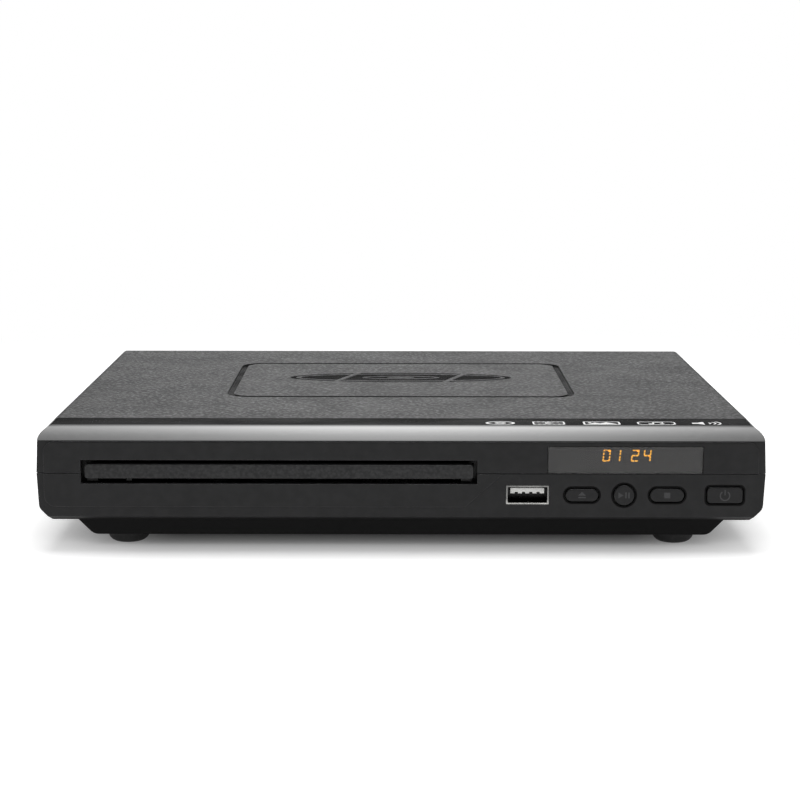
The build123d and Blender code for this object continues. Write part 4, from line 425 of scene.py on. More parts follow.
def make_hood():
    """What polished surfaces mirror: a dim studio with a long soft light that arches over the object."""
    mesh = bpy.data.meshes.new("hood")
    made = bmesh.new()
    bmesh.ops.create_uvsphere(made, u_segments=48, v_segments=32, radius=HOOD_R)
    below = [v for v in made.verts if v.co.z < -0.01]
    bmesh.ops.delete(made, geom=below, context="VERTS")
    made.to_mesh(mesh)
    made.free()
    hood = bpy.data.objects.new("hood", mesh)
    bpy.context.scene.collection.objects.link(hood)
    hood.visible_camera = False
    hood.visible_diffuse = False
    hood.visible_transmission = False
    hood.visible_shadow = False
    hood.visible_volume_scatter = False
    look = Look("hood_light", (0, 0, 0), 1.0)
    tilt = look.math("ARCTAN2", look.axis("Z"), look.axis("Y"))
    band = look.math("MULTIPLY", look.ramp(tilt, *HOOD_RISE), look.ramp(tilt, *HOOD_FALL, 1.0, 0.0))
    band = look.math("MULTIPLY", band, look.ramp(tilt, 0.4, 1.5, HOOD_LOW, HOOD_HIGH, False))
    across = look.math("ABSOLUTE", look.axis("X"))
    bright = look.ramp(across, 0.0, HOOD_MIDDLE, 1.0, 0.42)
    ends = look.ramp(across, HOOD_MIDDLE, HOOD_END, 1.0, 0.0)
    band = look.math("MULTIPLY", band, look.math("MULTIPLY", bright, ends))
    strength = look.math("ADD", band, HOOD_DIM)
    light = look.node("Emission", {"Color": (1, 1, 1, 1), "Strength": strength}).outputs[0]
    look.tree.links.new(light, look.nodes["Material Output"].inputs["Surface"])
    look.mat.cycles.emission_sampling = "NONE"
    mesh.materials.append(look.mat)


# ---------------------------------------------------------------- looks of the CAD pieces
def dress(look, *names):
    """Gives CAD nodes their material."""
    for name in names:
        mesh = NODES[name].data
        mesh.materials.clear()
        mesh.materials.append(look.mat)


def satin_roughness(look):
    """Gloss that drifts slowly."""
    return look.drift(0.02, 0.34, 0.42)


def satin_color(look):
    return look.blend(look.drift(0.004), SATIN_DARK, SATIN_LIGHT)


def satin_front(look, color, painted_shade=None):
    """Fine spark-eroded mould texture, a highlight painted along the edges, painted shade round openings
    where given, and slow unevenness of the gloss.
    """
    # painted highlight: sharp edges are lightened in colour, in patches broken up by noise
    highlight_patches = look.ramp(look.noise(0.006, 3.0), 0.2, 0.6, 0.5, 1.0)
    color = look.blend(look.math("MULTIPLY", look.edges(0.0003), highlight_patches), color, EDGE_HIGHLIGHT)
    rough = satin_roughness(look)
    # painted shade: darkens the colour and roughens the gloss where the mask is
    if painted_shade is not None:
        color = look.blend(painted_shade, color, PAINTED_SHADE_BLACK)
        rough = look.math("MAXIMUM", rough, look.math("MULTIPLY", painted_shade, 0.9))
    look.link(color, "Base Color")
    look.link(rough, "Roughness")
    look.set(**{"Specular IOR Level": 0.22})
    look.bump(look.noise(0.00035, 3.0, 0.6), 0.00003, 0.45)


def painted_opening_shade(look, openings, wide):
    """Painted shade round openings of the front: centre, half sizes and corner, in millimetres."""
    x, z = look.axis("X"), look.axis("Z")
    rims = []
    for centre, half, corner in openings:
        away = look.outside(x, z, times(centre, MM), times(half, MM), corner * MM)
        rims.append(look.within(away, -0.0002, wide * MM))
    front = look.ramp(look.axis("Y"), FACE_Y - 0.0003, FACE_Y, 1.0, 0.0)
    return look.math("MULTIPLY", look.either(rims), front)


def cover_look():
    """Pebbled top with glints painted on its pebbles, black grooves, satin front and sides with painted shade
    round the window.
    """
    look = Look("cover_plastic", (0.01, 0.01, 0.0105), 0.4)
    up = look.ramp(look.facing("Z"), 0.75, 0.9)
    sunk = look.ramp(look.axis("Z"), *GROOVE_Z, 1.0, 0.0)
    top = look.math("MULTIPLY", up, look.ramp(look.axis("Y"), TOP_FRONT_Y - 0.0007, TOP_FRONT_Y))
    grained = look.math("MULTIPLY", top, look.math("SUBTRACT", 1.0, sunk))
    pebble = look.math("MULTIPLY", look.cells(0.0014, "SMOOTH_F1"), -1.1)
    grain = look.math("ADD", pebble, look.math("MULTIPLY", look.noise(0.0009, 2.0, 0.6), 1.1))
    # painted glints: the pebbles' peaks are lightened in colour, brighter in slow patches
    painted_glint = look.ramp(grain, 0.0, 0.42)
    cloud = look.ramp(look.noise(0.03, 2.0), 0.3, 0.7, 0.75, 1.15)
    stone = look.blend(look.math("MULTIPLY", painted_glint, cloud), (0.004, 0.004, 0.0042), (0.085, 0.085, 0.087))
    color = look.blend(grained, satin_color(look), stone)
    black = look.math("MULTIPLY", top, sunk)
    color = look.blend(black, color, (0.002, 0.002, 0.002))
    # painted shade round the display window's opening
    satin_front(look, color, painted_opening_shade(look, [WINDOW_OPENING], WINDOW_SHADE_WIDTH))
    rough = look.math("ADD", satin_roughness(look), look.math("MULTIPLY", grained, 0.2))
    look.link(look.math("SUBTRACT", rough, look.math("MULTIPLY", black, 0.22)), "Roughness")
    look.bump(look.math("MULTIPLY", grained, grain), 0.0003, 1.0)
    return look


def satin_look():
    """Plain satin plastic."""
    look = Look("satin_plastic", (0.015, 0.015, 0.0155), 0.38)
    satin_front(look, satin_color(look))
    return look


def tub_look():
    """Satin, with painted shade round the buttons, and a coarse pedestal darkened by painted shade."""
    look = Look("tub_plastic", (0.015, 0.015, 0.0155), 0.4)
    # painted shade: below the pedestal height the colour is darkened, and darkened further towards near-black
    # with the openings' shade
    low = look.ramp(look.axis("Z"), PEDESTAL_Z - 0.0004, PEDESTAL_Z, 1.0, 0.0)
    color = look.blend(low, satin_color(look), (0.0035, 0.0035, 0.0036))
    # painted shade round the button openings
    painted_shade = painted_opening_shade(look, BUTTON_OPENINGS, BUTTON_SHADE_WIDTH)
    satin_front(look, color, look.math("MAXIMUM", painted_shade, look.math("MULTIPLY", low, 0.8)))
    return look


def door_look():
    """Lightly textured like the top, but flatter, with a highlight painted along its edges."""
    look = Look("door_plastic", (0.014, 0.014, 0.014), 0.42)
    # painted highlight: the door's sharp edges are lightened in colour
    painted_edge_highlight = look.edges(0.0003)
    grain = look.math("MULTIPLY", look.cells(0.0011, "SMOOTH_F1"), -1.0)
    grain = look.math("ADD", grain, look.noise(0.0007, 2.0, 0.5))
    color = look.blend(look.ramp(grain, -0.3, 0.5), (0.016, 0.016, 0.0165), (0.034, 0.034, 0.0345))
    look.link(look.blend(painted_edge_highlight, color, EDGE_HIGHLIGHT), "Base Color")
    look.link(look.drift(0.02, 0.38, 0.46), "Roughness")
    look.set(**{"Specular IOR Level": 0.25})
    look.bump(grain, 0.00008, 0.6)
    return look


def gloss_look():
    """Polished black with faint wipe marks."""
    look = Look("gloss_plastic", (0.003, 0.003, 0.0033), 0.1)
    wipe = look.noise(0.012, 4.0, 0.6, look.scaled(0.3, 1.0, 1.0))
    look.link(look.ramp(wipe, 0.35, 0.7, 0.09, 0.13), "Roughness")
    look.bump(look.noise(0.03, 2.0), 0.00002, 0.3)
    return look


def window_look():
    """Smoked clear plastic."""
    look = Look("smoked_lens", (0.3, 0.29, 0.28), 0.03, IOR=1.49)
    look.set(**{"Transmission Weight": 1.0, "Specular IOR Level": 0.14})
    look.link(look.drift(0.01, 0.02, 0.05), "Roughness")
    return look


def lit_look(name, color, strength):
    """Lit segments, a little uneven."""
    look = Look(name, color, 0.5)
    look.set(**{"Emission Color": color})
    grain = look.ramp(look.noise(0.0006, 2.0), 0.3, 0.7, 0.85, 1.1)
    look.link(look.math("MULTIPLY", grain, strength), "Emission Strength")
    return look


def ink_look(name, color, rough=0.5):
    """Screen-printed ink: slightly uneven cover and a dry surface."""
    look = Look(name, color, rough)
    cover = look.ramp(look.noise(0.0005, 4.0, 0.7), 0.25, 0.6)
    look.link(look.blend(cover, times(color, 0.72), color), "Base Color")
    look.bump(look.noise(0.0003, 2.0), 0.00001, 0.4)
    return look


def jack_look():
    """Moulded block, bright barrels, and an insulator in each socket's own colour."""
    look = Look("jack_plastic", (0.012, 0.012, 0.012), 0.4)
    x, y, z = look.axis("X"), look.axis("Y"), look.axis("Z")
    color = (0.014, 0.014, 0.014)
    sleeves = []
    for place, hue in zip(JACK_X, JACK_HUES):
        away = look.radius(x, z, (place, SOCKET_Z))
        outside = look.ramp(y, JACK_BARREL_Y - 0.0001, JACK_BARREL_Y + 0.0001)
        sleeve = look.math("MULTIPLY", look.within(away, JACK_CORE_R, JACK_BARREL_R), outside)
        depth = look.within(y, JACK_COLLAR_Y, JACK_BARREL_Y)
        collar = look.math("MULTIPLY", look.within(away, JACK_CORE_R, JACK_COLLAR_R), depth)
        core = look.ramp(away, JACK_CORE_R, JACK_CORE_R + 0.00005, 1.0, 0.0)
        core = look.math("MULTIPLY", core, look.ramp(y, JACK_COLLAR_Y - 0.0003, JACK_COLLAR_Y))
        color = look.blend(look.math("MAXIMUM", core, collar), color, hue)
        color = look.blend(sleeve, color, (0.72, 0.72, 0.7))
        sleeves.append(sleeve)
    metal = look.either(sleeves)
    look.link(color, "Base Color")
    look.link(metal, "Metallic")
    look.link(look.ramp(metal, 0.0, 1.0, 0.42, 0.2), "Roughness")
    look.edges(0.0002)
    look.bump(look.noise(0.0004, 3.0, 0.6), 0.00002, 0.4)
    return look


def inlet_look():
    """Black moulding with two bright pins."""
    look = Look("inlet_plastic", (0.013, 0.013, 0.013), 0.42)
    x, z = look.axis("X"), look.axis("Z")
    away = [look.radius(x, z, (INLET_X + side, SOCKET_Z)) for side in (-INLET_PIN_X, INLET_PIN_X)]
    pins = look.either(look.ramp(distance, INLET_PIN_R - 0.00005, INLET_PIN_R, 1.0, 0.0) for distance in away)
    look.link(look.blend(pins, (0.013, 0.013, 0.013), PIN_METAL), "Base Color")
    look.link(pins, "Metallic")
    look.link(look.ramp(pins, 0.0, 1.0, 0.42, 0.22), "Roughness")
    look.bump(look.noise(0.0004, 3.0, 0.6), 0.00003, 0.5)
    return look


def socket_look():
    """Bright shell with painted shade that deepens towards its back inside, and painted light on its lowest
    part.
    """
    look = Look("socket_nickel", (0.55, 0.54, 0.52), 0.25, Metallic=1.0)
    # painted shade deeper inside the shell
    depth = look.ramp(look.axis("Y"), *SHELL_MOUTH_Y)
    blotch = look.drift(0.004)
    bright = look.blend(blotch, (0.28, 0.28, 0.27), (0.46, 0.455, 0.44))
    # painted light on the shell's lower part, painted shade above it
    low = look.ramp(look.axis("Z"), *SHELL_FLOOR_Z, 1.0, 0.35)
    bright = look.blend(low, (0.12, 0.12, 0.118), bright)
    look.link(look.blend(depth, bright, (0.02, 0.02, 0.02)), "Base Color")
    look.link(look.drift(0.0006, 0.2, 0.34), "Roughness")
    look.edges(0.00012)
    return look


def thread_look():
    """Ground steel with a helical groove and painted shade in it, drawn round the screw's tilted axis."""
    look = Look("screw_steel", (0.62, 0.62, 0.63), 0.22, Metallic=1.0)
    turn = look.node(
        "VectorRotate",
        {"Vector": look.place, "Center": (0, PIVOT[0], PIVOT[1]), "Angle": -math.radians(LIFT_ANGLE)},
        rotation_type="X_AXIS",
    ).outputs[0]
    part = look.node("SeparateXYZ", {0: turn}).outputs
    across = look.math("SUBTRACT", part["X"], SCREW[0])
    angle = look.math("ARCTAN2", across, look.math("SUBTRACT", part["Z"], SCREW[1]))
    along = look.math("DIVIDE", part["Y"], GROOVE_PITCH)
    turns = look.math("ADD", along, look.math("DIVIDE", angle, 2 * math.pi))
    groove = look.ramp(look.math("PINGPONG", turns, 0.5), 0.1, 0.3)
    # painted shade: the groove is darkened in colour
    look.link(look.blend(groove, (0.2, 0.2, 0.2), (0.68, 0.68, 0.69)), "Base Color")
    look.link(look.drift(0.002, 0.18, 0.3), "Roughness")
    look.bump(groove, 0.0003, 0.9)
    return look


def transformer_look():
    """Dark ferrite core round a winding in yellow tape."""
    look = Look("ferrite_core", (0.05, 0.048, 0.046), 0.55)
    away = look.math("ABSOLUTE", look.math("SUBTRACT", look.axis("Y"), CORE_Y))
    proud = look.ramp(away, CORE_HALF_D - 0.00003, CORE_HALF_D + 0.00003)
    tape = look.math("MULTIPLY", proud, look.ramp(look.axis("Z"), 0.0172, 0.0176))
    wraps = look.ramp(look.math("PINGPONG", look.axis("Z"), 0.0021), 0.0, 0.00012, 0.6, 1.0)
    yellow = look.blend(wraps, (0.3, 0.2, 0.03), (0.75, 0.55, 0.08))
    stone = look.blend(look.noise(0.0012, 4.0, 0.7), (0.03, 0.03, 0.03), (0.075, 0.072, 0.07))
    look.link(look.blend(tape, stone, yellow), "Base Color")
    look.link(look.ramp(tape, 0.0, 1.0, 0.62, 0.3), "Roughness")
    look.bump(look.noise(0.0006, 3.0), 0.00004, 0.5)
    return look


def rubber_look():
    """Matt black rubber with dust in patches."""
    look = Look("rubber_black", (0.012, 0.012, 0.012), 0.62)
    dust = look.ramp(look.noise(0.002, 4.0, 0.7), 0.5, 0.75)
    look.link(look.blend(dust, (0.009, 0.009, 0.009), (0.03, 0.029, 0.028)), "Base Color")
    look.bump(look.noise(0.0004, 3.0), 0.00006, 0.5)
    return look


def metal_look(name, color, rough, along=(1.0, 12.0, 12.0)):
    """Metal with fine drawn lines and blotches of roughness."""
    look = Look(name, color, rough, Metallic=1.0)
    lines = look.noise(0.0006, 3.0, 0.6, look.scaled(*along))
    blotch = look.noise(0.006, 3.0)
    look.link(look.ramp(look.math("ADD", lines, blotch), 0.6, 1.4, rough * 0.75, rough * 1.35), "Roughness")
    look.link(look.blend(look.ramp(blotch, 0.35, 0.7), color, times(color, 0.78)), "Base Color")
    look.bump(lines, 0.00001, 0.5)
    return look


def moulded_look(name, color, rough=0.45, spread=0.25):
    """Plain moulded plastic: slow tone changes and fine skin."""
    look = Look(name, color, rough)
    tone = look.ramp(look.noise(0.006, 4.0, 0.6), 0.3, 0.7)
    look.link(look.blend(tone, times(color, 1 - spread), times(color, 1 + spread * 0.5)), "Base Color")
    look.link(look.drift(0.01, rough * 0.85, rough * 1.15), "Roughness")
    look.bump(look.noise(0.0004, 3.0, 0.6), 0.00003, 0.5)
    return look


def board_look():
    """Solder mask over copper, seen as slightly raised lighter bands, with vias."""
    look = Look("board_green", (0.012, 0.07, 0.03), 0.28)
    runs = []
    for turn, size in ((0.0, 0.0023), (math.pi / 2, 0.0029), (math.pi / 4, 0.0041)):
        where = look.scaled(1.0, 1.0, 1.0, turn)
        lines = look.ramp(look.waves(0.05 / size, where), 0.72, 0.8)
        breaks = look.ramp(look.cells(0.012, where=where), 0.38, 0.42, 1.0, 0.0)
        runs.append(look.math("MULTIPLY", lines, breaks))
    runs = look.either(runs)
    vias = look.ramp(look.cells(0.0035), 0.1, 0.14, 1.0, 0.0)
    tone = look.blend(runs, (0.008, 0.05, 0.022), (0.02, 0.11, 0.045))
    look.link(look.blend(vias, tone, (0.42, 0.4, 0.34)), "Base Color")
    look.bump(look.math("MAXIMUM", runs, vias), 0.00003, 0.7)
    return look


def ribbon_look():
    """Flat cable: pale, with grey bands along it."""
    look = Look("ribbon_grey", (0.6, 0.6, 0.58), 0.45)
    lines = look.waves(50.0)
    look.link(look.blend(look.ramp(lines, 0.55, 0.7), (0.62, 0.61, 0.58), (0.4, 0.4, 0.4)), "Base Color")
    look.bump(lines, 0.0001, 0.6)
    return look


def can_look():
    """Dark shrink sleeve with an aluminium top."""
    look = Look("can_sleeve", (0.012, 0.014, 0.04), 0.3)
    top = look.ramp(look.facing("Z"), 0.9, 0.97)
    look.link(look.blend(top, (0.012, 0.014, 0.04), (0.62, 0.62, 0.63)), "Base Color")
    look.link(top, "Metallic")
    look.link(look.drift(0.003, 0.26, 0.38), "Roughness")
    look.bump(look.noise(0.0008, 2.0), 0.00002, 0.5)
    return look


def lens_look():
    """Dark holder, clear violet-blue lens at the top."""
    look = Look("pickup_lens", (0.02, 0.02, 0.02), 0.35)
    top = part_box("pickup_lens")[1].z
    dome = look.ramp(look.axis("Z"), top - 0.0011, top - 0.0009)
    look.link(look.blend(dome, (0.018, 0.018, 0.019), (0.05, 0.06, 0.16)), "Base Color")
    look.link(look.ramp(dome, 0.0, 1.0, 0.4, 0.04), "Roughness")
    look.bump(look.noise(0.0004, 3.0), 0.00002, 0.4)
    return look


# ---------------------------------------------------------------- making small pieces
TURNS = {
    "top": Matrix.Identity(4),
    "front": Matrix.Rotation(math.pi / 2, 4, "X"),
    "side": Matrix(((0, 0, 1, 0), (1, 0, 0, 0), (0, 1, 0, 0), (0, 0, 0, 1))),
}


def piece(name, mesh, look, body):
    """A named object that moves with a body and takes its finish from a slot."""
    mesh.name = name
    mesh.materials.clear()
    mesh.materials.append(look.mat)
    made = bpy.data.objects.new(name, mesh)
    bpy.context.scene.collection.objects.link(made)
    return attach(made, body)


def cut(loops, depth, facing, place, bevel=0.0):
    """A flat mesh from outlines in millimetres, holes included, with place at mid-depth."""
    curve = bpy.data.curves.new("outline", "CURVE")
    curve.dimensions = "2D"
    curve.fill_mode = "BOTH"
    curve.extrude = (depth / 2 - bevel) * MM
    curve.bevel_depth = bevel * MM
    curve.bevel_resolution = 1
    curve.offset = -bevel * MM
    for loop in loops:
        spline = curve.splines.new("POLY")
        spline.points.add(len(loop) - 1)
        for point, (u, v) in zip(spline.points, loop):
            point.co = (u * MM, v * MM, 0, 1)
        spline.use_cyclic_u = True
    source = bpy.data.objects.new("outline", curve)
    mesh = bpy.data.meshes.new_from_object(source)
    bpy.data.objects.remove(source)
    bpy.data.curves.remove(curve)
    mesh.transform(Matrix.Translation(Vector(place) * MM) @ TURNS[facing])
    return mesh


def merged(meshes):
    """One mesh out of several."""
    made = bmesh.new()
    for mesh in meshes:
        made.from_mesh(mesh)
        bpy.data.meshes.remove(mesh)
    whole = bpy.data.meshes.new("merged")
    made.to_mesh(whole)
    made.free()
    return whole


def ring(centre, radius, count=40, stretch=1.0, start=0.0, sweep=360.0):
    """Points round a circle or an arc."""
    steps = count if sweep >= 360 else count + 1
    points = []
    for index in range(steps):
        angle = math.radians(start + sweep * index / count)
        points.append((centre[0] + stretch * radius * math.cos(angle), centre[1] + radius * math.sin(angle)))
    return points


def arc_band(centre, inner, outer, start, sweep, stretch=1.0):
    """A bent strip between two arcs."""
    sides = [ring(centre, radius, 32, stretch, start, sweep) for radius in (outer, inner)]
    return sides[0] + sides[1][::-1]


def bar(low, high, radius=0.0):
    """A rectangle between two corners, its own corners cut."""
    (a, b), (c, d), r = low, high, radius
    return [(a + r, b), (c - r, b), (c, b + r), (c, d - r), (c - r, d), (a + r, d), (a, d - r), (a, b + r)]


def shifted(loops, x, y):
    return [[(u + x, v + y) for u, v in loop] for loop in loops]


# ---------------------------------------------------------------- display
SEGMENTS = {"0": "abcdef", "1": "bc", "2": "abged", "4": "fgbc"}


def digit(char, x, z, width, height):
    """A leaning seven-segment digit from its lower left corner, each segment in two dashes."""
    t, gap, split, lean = 0.46, 0.2, 0.12, 0.1
    half = height / 2
    spans = {
        "a": ((gap, height - t), (width - gap, height)),
        "g": ((gap, half - t / 2), (width - gap, half + t / 2)),
        "d": ((gap, 0), (width - gap, t)),
        "b": ((width - t, half + gap), (width, height - gap)),
        "c": ((width - t, gap), (width, half - gap)),
        "f": ((0, half + gap), (t, height - gap)),
        "e": ((0, gap), (t, half - gap)),
    }
    loops = []
    for key in SEGMENTS[char]:
        (a, b), (c, d) = spans[key]
        u, v = (a + c) / 2, (b + d) / 2
        if c - a > d - b:
            halves = (((a, b), (u - split / 2, d)), ((u + split / 2, b), (c, d)))
        else:
            halves = (((a, b), (c, v - split / 2)), ((a, v + split / 2), (c, d)))
        for low, high in halves:
            loops.append([(x + p + lean * q, z + q) for p, q in bar(low, high, 0.12)])
    return loops


def make_display():
    """Dark film in front of the module, with four plain digits shining through the lens."""
    module = in_mm(DISPLAY_BOX)
    front = module[0].y
    low, high = in_mm(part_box("display_window"))
    outline = bar((low.x + 1.5, low.z + 0.3), (high.x - 1.5, high.z - 0.2), 0.6)
    film = cut([outline], 0.08, "front", (0, front - 0.04, 0), 0.01)
    piece("display_film", film, MASK, "chassis")
    x = middle(module, X) + 0.1
    loops = []
    for char, offset in DIGITS:
        loops += digit(char, x + offset, DIGIT_Z, *DIGIT_SIZE)
    lit = cut(loops, 0.04, "front", (0, front - 0.1, 0))
    piece("display_digits", lit, AMBER, "chassis")


# ---------------------------------------------------------------- printed marks
def disc_mark():
    rings = ((3.3, 40), (2.7, 40), (1.3, 32), (0.55, 24))
    return [ring((0, 0), radius, count, 1.5) for radius, count in rings]


def film_mark():
    loops = [bar((-5.4, -2.9), (5.4, 2.9), 0.3), bar((-4.9, -1.7), (4.9, 1.7), 0.2)]
    for index in range(6):
        x = -4.6 + index * 1.65
        loops += [bar((x, 2.0), (x + 0.95, 2.6)), bar((x, -2.6), (x + 0.95, -2.0))]
    return loops + [[(-1.2, -1.2), (1.6, 0.0), (-1.2, 1.2)]]


def picture_mark():
    border = [bar((-6.2, -3.0), (6.2, 3.0), 0.5), bar((-5.6, -2.4), (5.6, 2.4), 0.3)]
    hills = [(-5.2, -2.1), (-2.2, 1.0), (-0.6, -0.5), (1.6, 1.7), (5.2, -2.1)]
    return border + [hills, ring((-3.9, 1.3), 0.6, 20)]


def note_mark():
    border = [bar((-6.4, -3.0), (6.4, 3.0), 1.2), bar((-5.9, -2.5), (5.9, 2.5), 1.0)]
    stems = [
        (-1.3, -1.4), (-0.8, -1.4), (-0.8, 1.2), (1.9, 1.6),
        (1.9, -1.0), (2.4, -1.0), (2.4, 2.2), (-1.3, 1.7),
    ]
    return border + [stems, ring((-1.9, -1.4), 0.75, 20, 1.3), ring((1.8, -1.0), 0.62, 20, 1.3)]


def speaker_mark():
    horn = [(-5.0, -1.0), (-3.2, -1.0), (-1.0, -2.8), (-1.0, 2.8), (-3.2, 1.0), (-5.0, 1.0)]
    return [horn] + [arc_band((-1.0, 0), radius, radius + 0.5, -42, 84, 1.2) for radius in (1.6, 3.0, 4.4)]


def make_marks():
    """Five plain pictograms printed on the strip."""
    marks = (
        (33.3, disc_mark()),
        (49.6, film_mark()),
        (67.4, picture_mark()),
        (85.8, note_mark()),
        (102.8, speaker_mark()),
    )
    meshes = []
    for x, loops in marks:
        squat = [[(u, v * MARK_SQUASH) for u, v in loop] for loop in loops]
        meshes.append(cut(shifted(squat, x, MARK_Y), MARK_THICKNESS, "top", (0, 0, MARK_Z)))
    piece("strip_marks", merged(meshes), WHITE_INK, "chassis")


def make_button_marks():
    """Eject, play and pause, stop and power signs, each on its own button."""
    pause = [bar((0.35, -1.0), (0.85, 1.0)), bar((1.35, -1.0), (1.85, 1.0))]
    signs = {
        "eject": [[(-1.25, -0.1), (1.25, -0.1), (0.0, 1.2)], bar((-1.25, -0.95), (1.25, -0.5))],
        "play": [[(-1.9, -1.0), (-1.9, 1.0), (-0.2, 0.0)]] + pause,
        "stop": [bar((-1.0, -0.95), (1.0, 0.95), 0.1)],
        "power": [arc_band((0, -0.1), 1.35, 1.75, 125, 290), bar((-0.2, 0.1), (0.2, 1.9))],
    }
    for name, loops in signs.items():
        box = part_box(name + "_button")
        loops = shifted(loops, middle(box, X) / MM, BUTTON_Z)
        mesh = cut(loops, MARK_THICKNESS, "front", (0, box[0].y / MM - 0.006, 0))
        piece(name + "_mark", mesh, GREY_INK, name + "_button")


# ---------------------------------------------------------------- sockets
def make_usb_contacts():
    """Four sprung fingers under the tongue, bent up at their tips."""
    box = in_mm(USB_BOX)
    y, z = box[0].y, box[0].z
    path = [(y + 0.5, z + 0.42), (y + 1.3, z + 0.02), (y + 2.4, z - 0.14), (y + 3.9, z + 0.12)]
    outline = path + [(u, v + 0.14) for u, v in reversed(path)]
    places = [middle(box, X) + (index - 1.5) * 2.4 for index in range(4)]
    meshes = [cut([outline], 0.8, "side", (x, 0, 0), 0.03) for x in places]
    piece("usb_contacts", merged(meshes), GOLD, "chassis")


# ---------------------------------------------------------------- electronics
def scattered(mesh, places):
    """Copies of a mesh, one at each matrix."""
    made = bmesh.new()
    for place in places:
        mesh.transform(place)
        made.from_mesh(mesh)
        mesh.transform(place.inverted())
    bpy.data.meshes.remove(mesh)
    whole = bpy.data.meshes.new("scattered")
    made.to_mesh(whole)
    made.free()
    return whole


def at(x, y, z=0.0, turn=0.0):
    """A place in millimetres, turned about the vertical by degrees."""
    return Matrix.Translation((x * MM, y * MM, z * MM)) @ Matrix.Rotation(math.radians(turn), 4, "Z")


def slab(loops, low, high, bevel=0.15):
    """A flat form between two heights."""
    return cut(loops, high - low, "top", (0, 0, (low + high) / 2), bevel)


def turned(profile, count=24):
    """A mesh turned about the vertical, from (radius, height) pairs in millimetres."""
    made = bmesh.new()
    rows = []
    for radius, height in profile:
        if radius == 0:
            rows.append([made.verts.new((0, 0, height * MM))] * count)
        else:
            points = ring((0, 0), radius, count)
            rows.append([made.verts.new((u * MM, v * MM, height * MM)) for u, v in points])
    for lower, upper in zip(rows, rows[1:]):
        for index in range(count):
            other = (index + 1) % count
            corners = [lower[index], lower[other], upper[other], upper[index]]
            made.faces.new(list(dict.fromkeys(corners)))
    bmesh.ops.recalc_face_normals(made, faces=made.faces)
    for face in made.faces:
        face.smooth = True
    mesh = bpy.data.meshes.new("turned")
    made.to_mesh(mesh)
    made.free()
    return mesh


def lead_places(x, y, width, depth, pitch, four):
    """Where a chip's leads leave it: along its long sides, or along all four."""
    places = []
    sides = [(0, width, depth / 2), (180, width, depth / 2)]
    if four:
        sides += [(90, depth, width / 2), (-90, depth, width / 2)]
    for turn, length, reach in sides:
        count = int((length - 2.0) / pitch) + 1
        for index in range(count):
            along = (index - (count - 1) / 2) * pitch
            places.append(at(x, y, 0, turn) @ at(along, reach - 0.1))
    return places


def make_chip_parts():
    """Gull-wing leads, and a finned heat sink on the largest chip."""
    wing = [(0, 0.75), (0.5, 0.75), (0.85, 0.14), (1.4, 0.14), (1.4, 0), (0.75, 0), (0.4, 0.6), (0, 0.6)]
    places = []
    for chip in CHIP_PLACES:
        places += lead_places(*chip)
    lead = cut([wing], 0.34, "side", (0, 0, BOARD_TOP), 0.02)
    piece("chip_leads", scattered(lead, places), TINNED, "chassis")
    x, y = CHIP_PLACES[0][:2]
    half, pitch, base = 9, 2.4, BOARD_TOP + 1.8
    plates = [slab([bar((x - half, y - half), (x + half, y + half), 0.5)], base, base + 1.4)]
    for index in range(8):
        fin = x + (index - 3.5) * pitch
        outline = bar((fin - 0.45, y - half), (fin + 0.45, y + half), 0.1)
        plates.append(slab([outline], base + 1.2, base + 6.5, 0.1))
    piece("heat_sink", merged(plates), ANODISED, "chassis")


def is_free(x, y):
    gap = TAKEN_MARGIN
    return not any(a - gap < x < b + gap and c - gap < y < d + gap for a, b, c, d in TAKEN)


def make_small_parts():
    """Chip resistors and capacitors, strewn over the free parts of both boards."""
    rng = random.Random(11)
    places = []
    for box, count, pitch in SMALL_PARTS:
        low, high = in_mm(box)
        columns, rows = int((high.x - low.x - 4) / pitch), int((high.y - low.y - 4) / pitch)
        xs = [low.x + 2.4 + index * pitch for index in range(columns)]
        ys = [low.y + 2.4 + index * pitch for index in range(rows)]
        free = [(x, y) for x in xs for y in ys if is_free(x, y)]
        rng.shuffle(free)
        places += [at(x, y, 0, rng.choice((0, 90))) for x, y in free[:count]]
    low = BOARD_TOP
    half = len(places) // 2
    for name, look, slot, part in (
        ("smd_dark", SMD_DARK, "black_plastic", places[:half]),
        ("smd_tan", SMD_TAN, "can_sleeve", places[half:]),
    ):
        body = slab([bar((-0.5, -0.38), (0.5, 0.38))], low, low + 0.5, 0.05)
        piece(name, scattered(body, part), look, "chassis")
    caps = [slab([bar((x - 0.16, -0.4), (x + 0.16, 0.4))], low, low + 0.52, 0.04) for x in (-0.62, 0.62)]
    piece("smd_ends", scattered(merged(caps), places), TINNED, "chassis")


def make_header(x, y, count, turn):
    """An open nylon box and its pins."""
    pitch, half_d, wall = 2.0, 2.2, 0.6
    half_w = count * pitch / 2 + 0.7
    outer = bar((-half_w, -half_d), (half_w, half_d), 0.3)
    inner = bar((-half_w + wall, -half_d + wall), (half_w - wall, half_d - wall), 0.2)
    walls = slab([outer, inner], BOARD_TOP + 0.9, BOARD_TOP + 5.5, 0.08)
    base = slab([outer], BOARD_TOP, BOARD_TOP + 1.0, 0.08)
    pin = slab([bar((-0.25, -0.25), (0.25, 0.25))], BOARD_TOP + 0.8, BOARD_TOP + 4.9, 0.06)
    body, place = merged([walls, base]), at(x, y, 0, turn)
    body.transform(place)
    places = [place @ at((index - (count - 1) / 2) * pitch, 0) for index in range(count)]
    return body, scattered(pin, places)


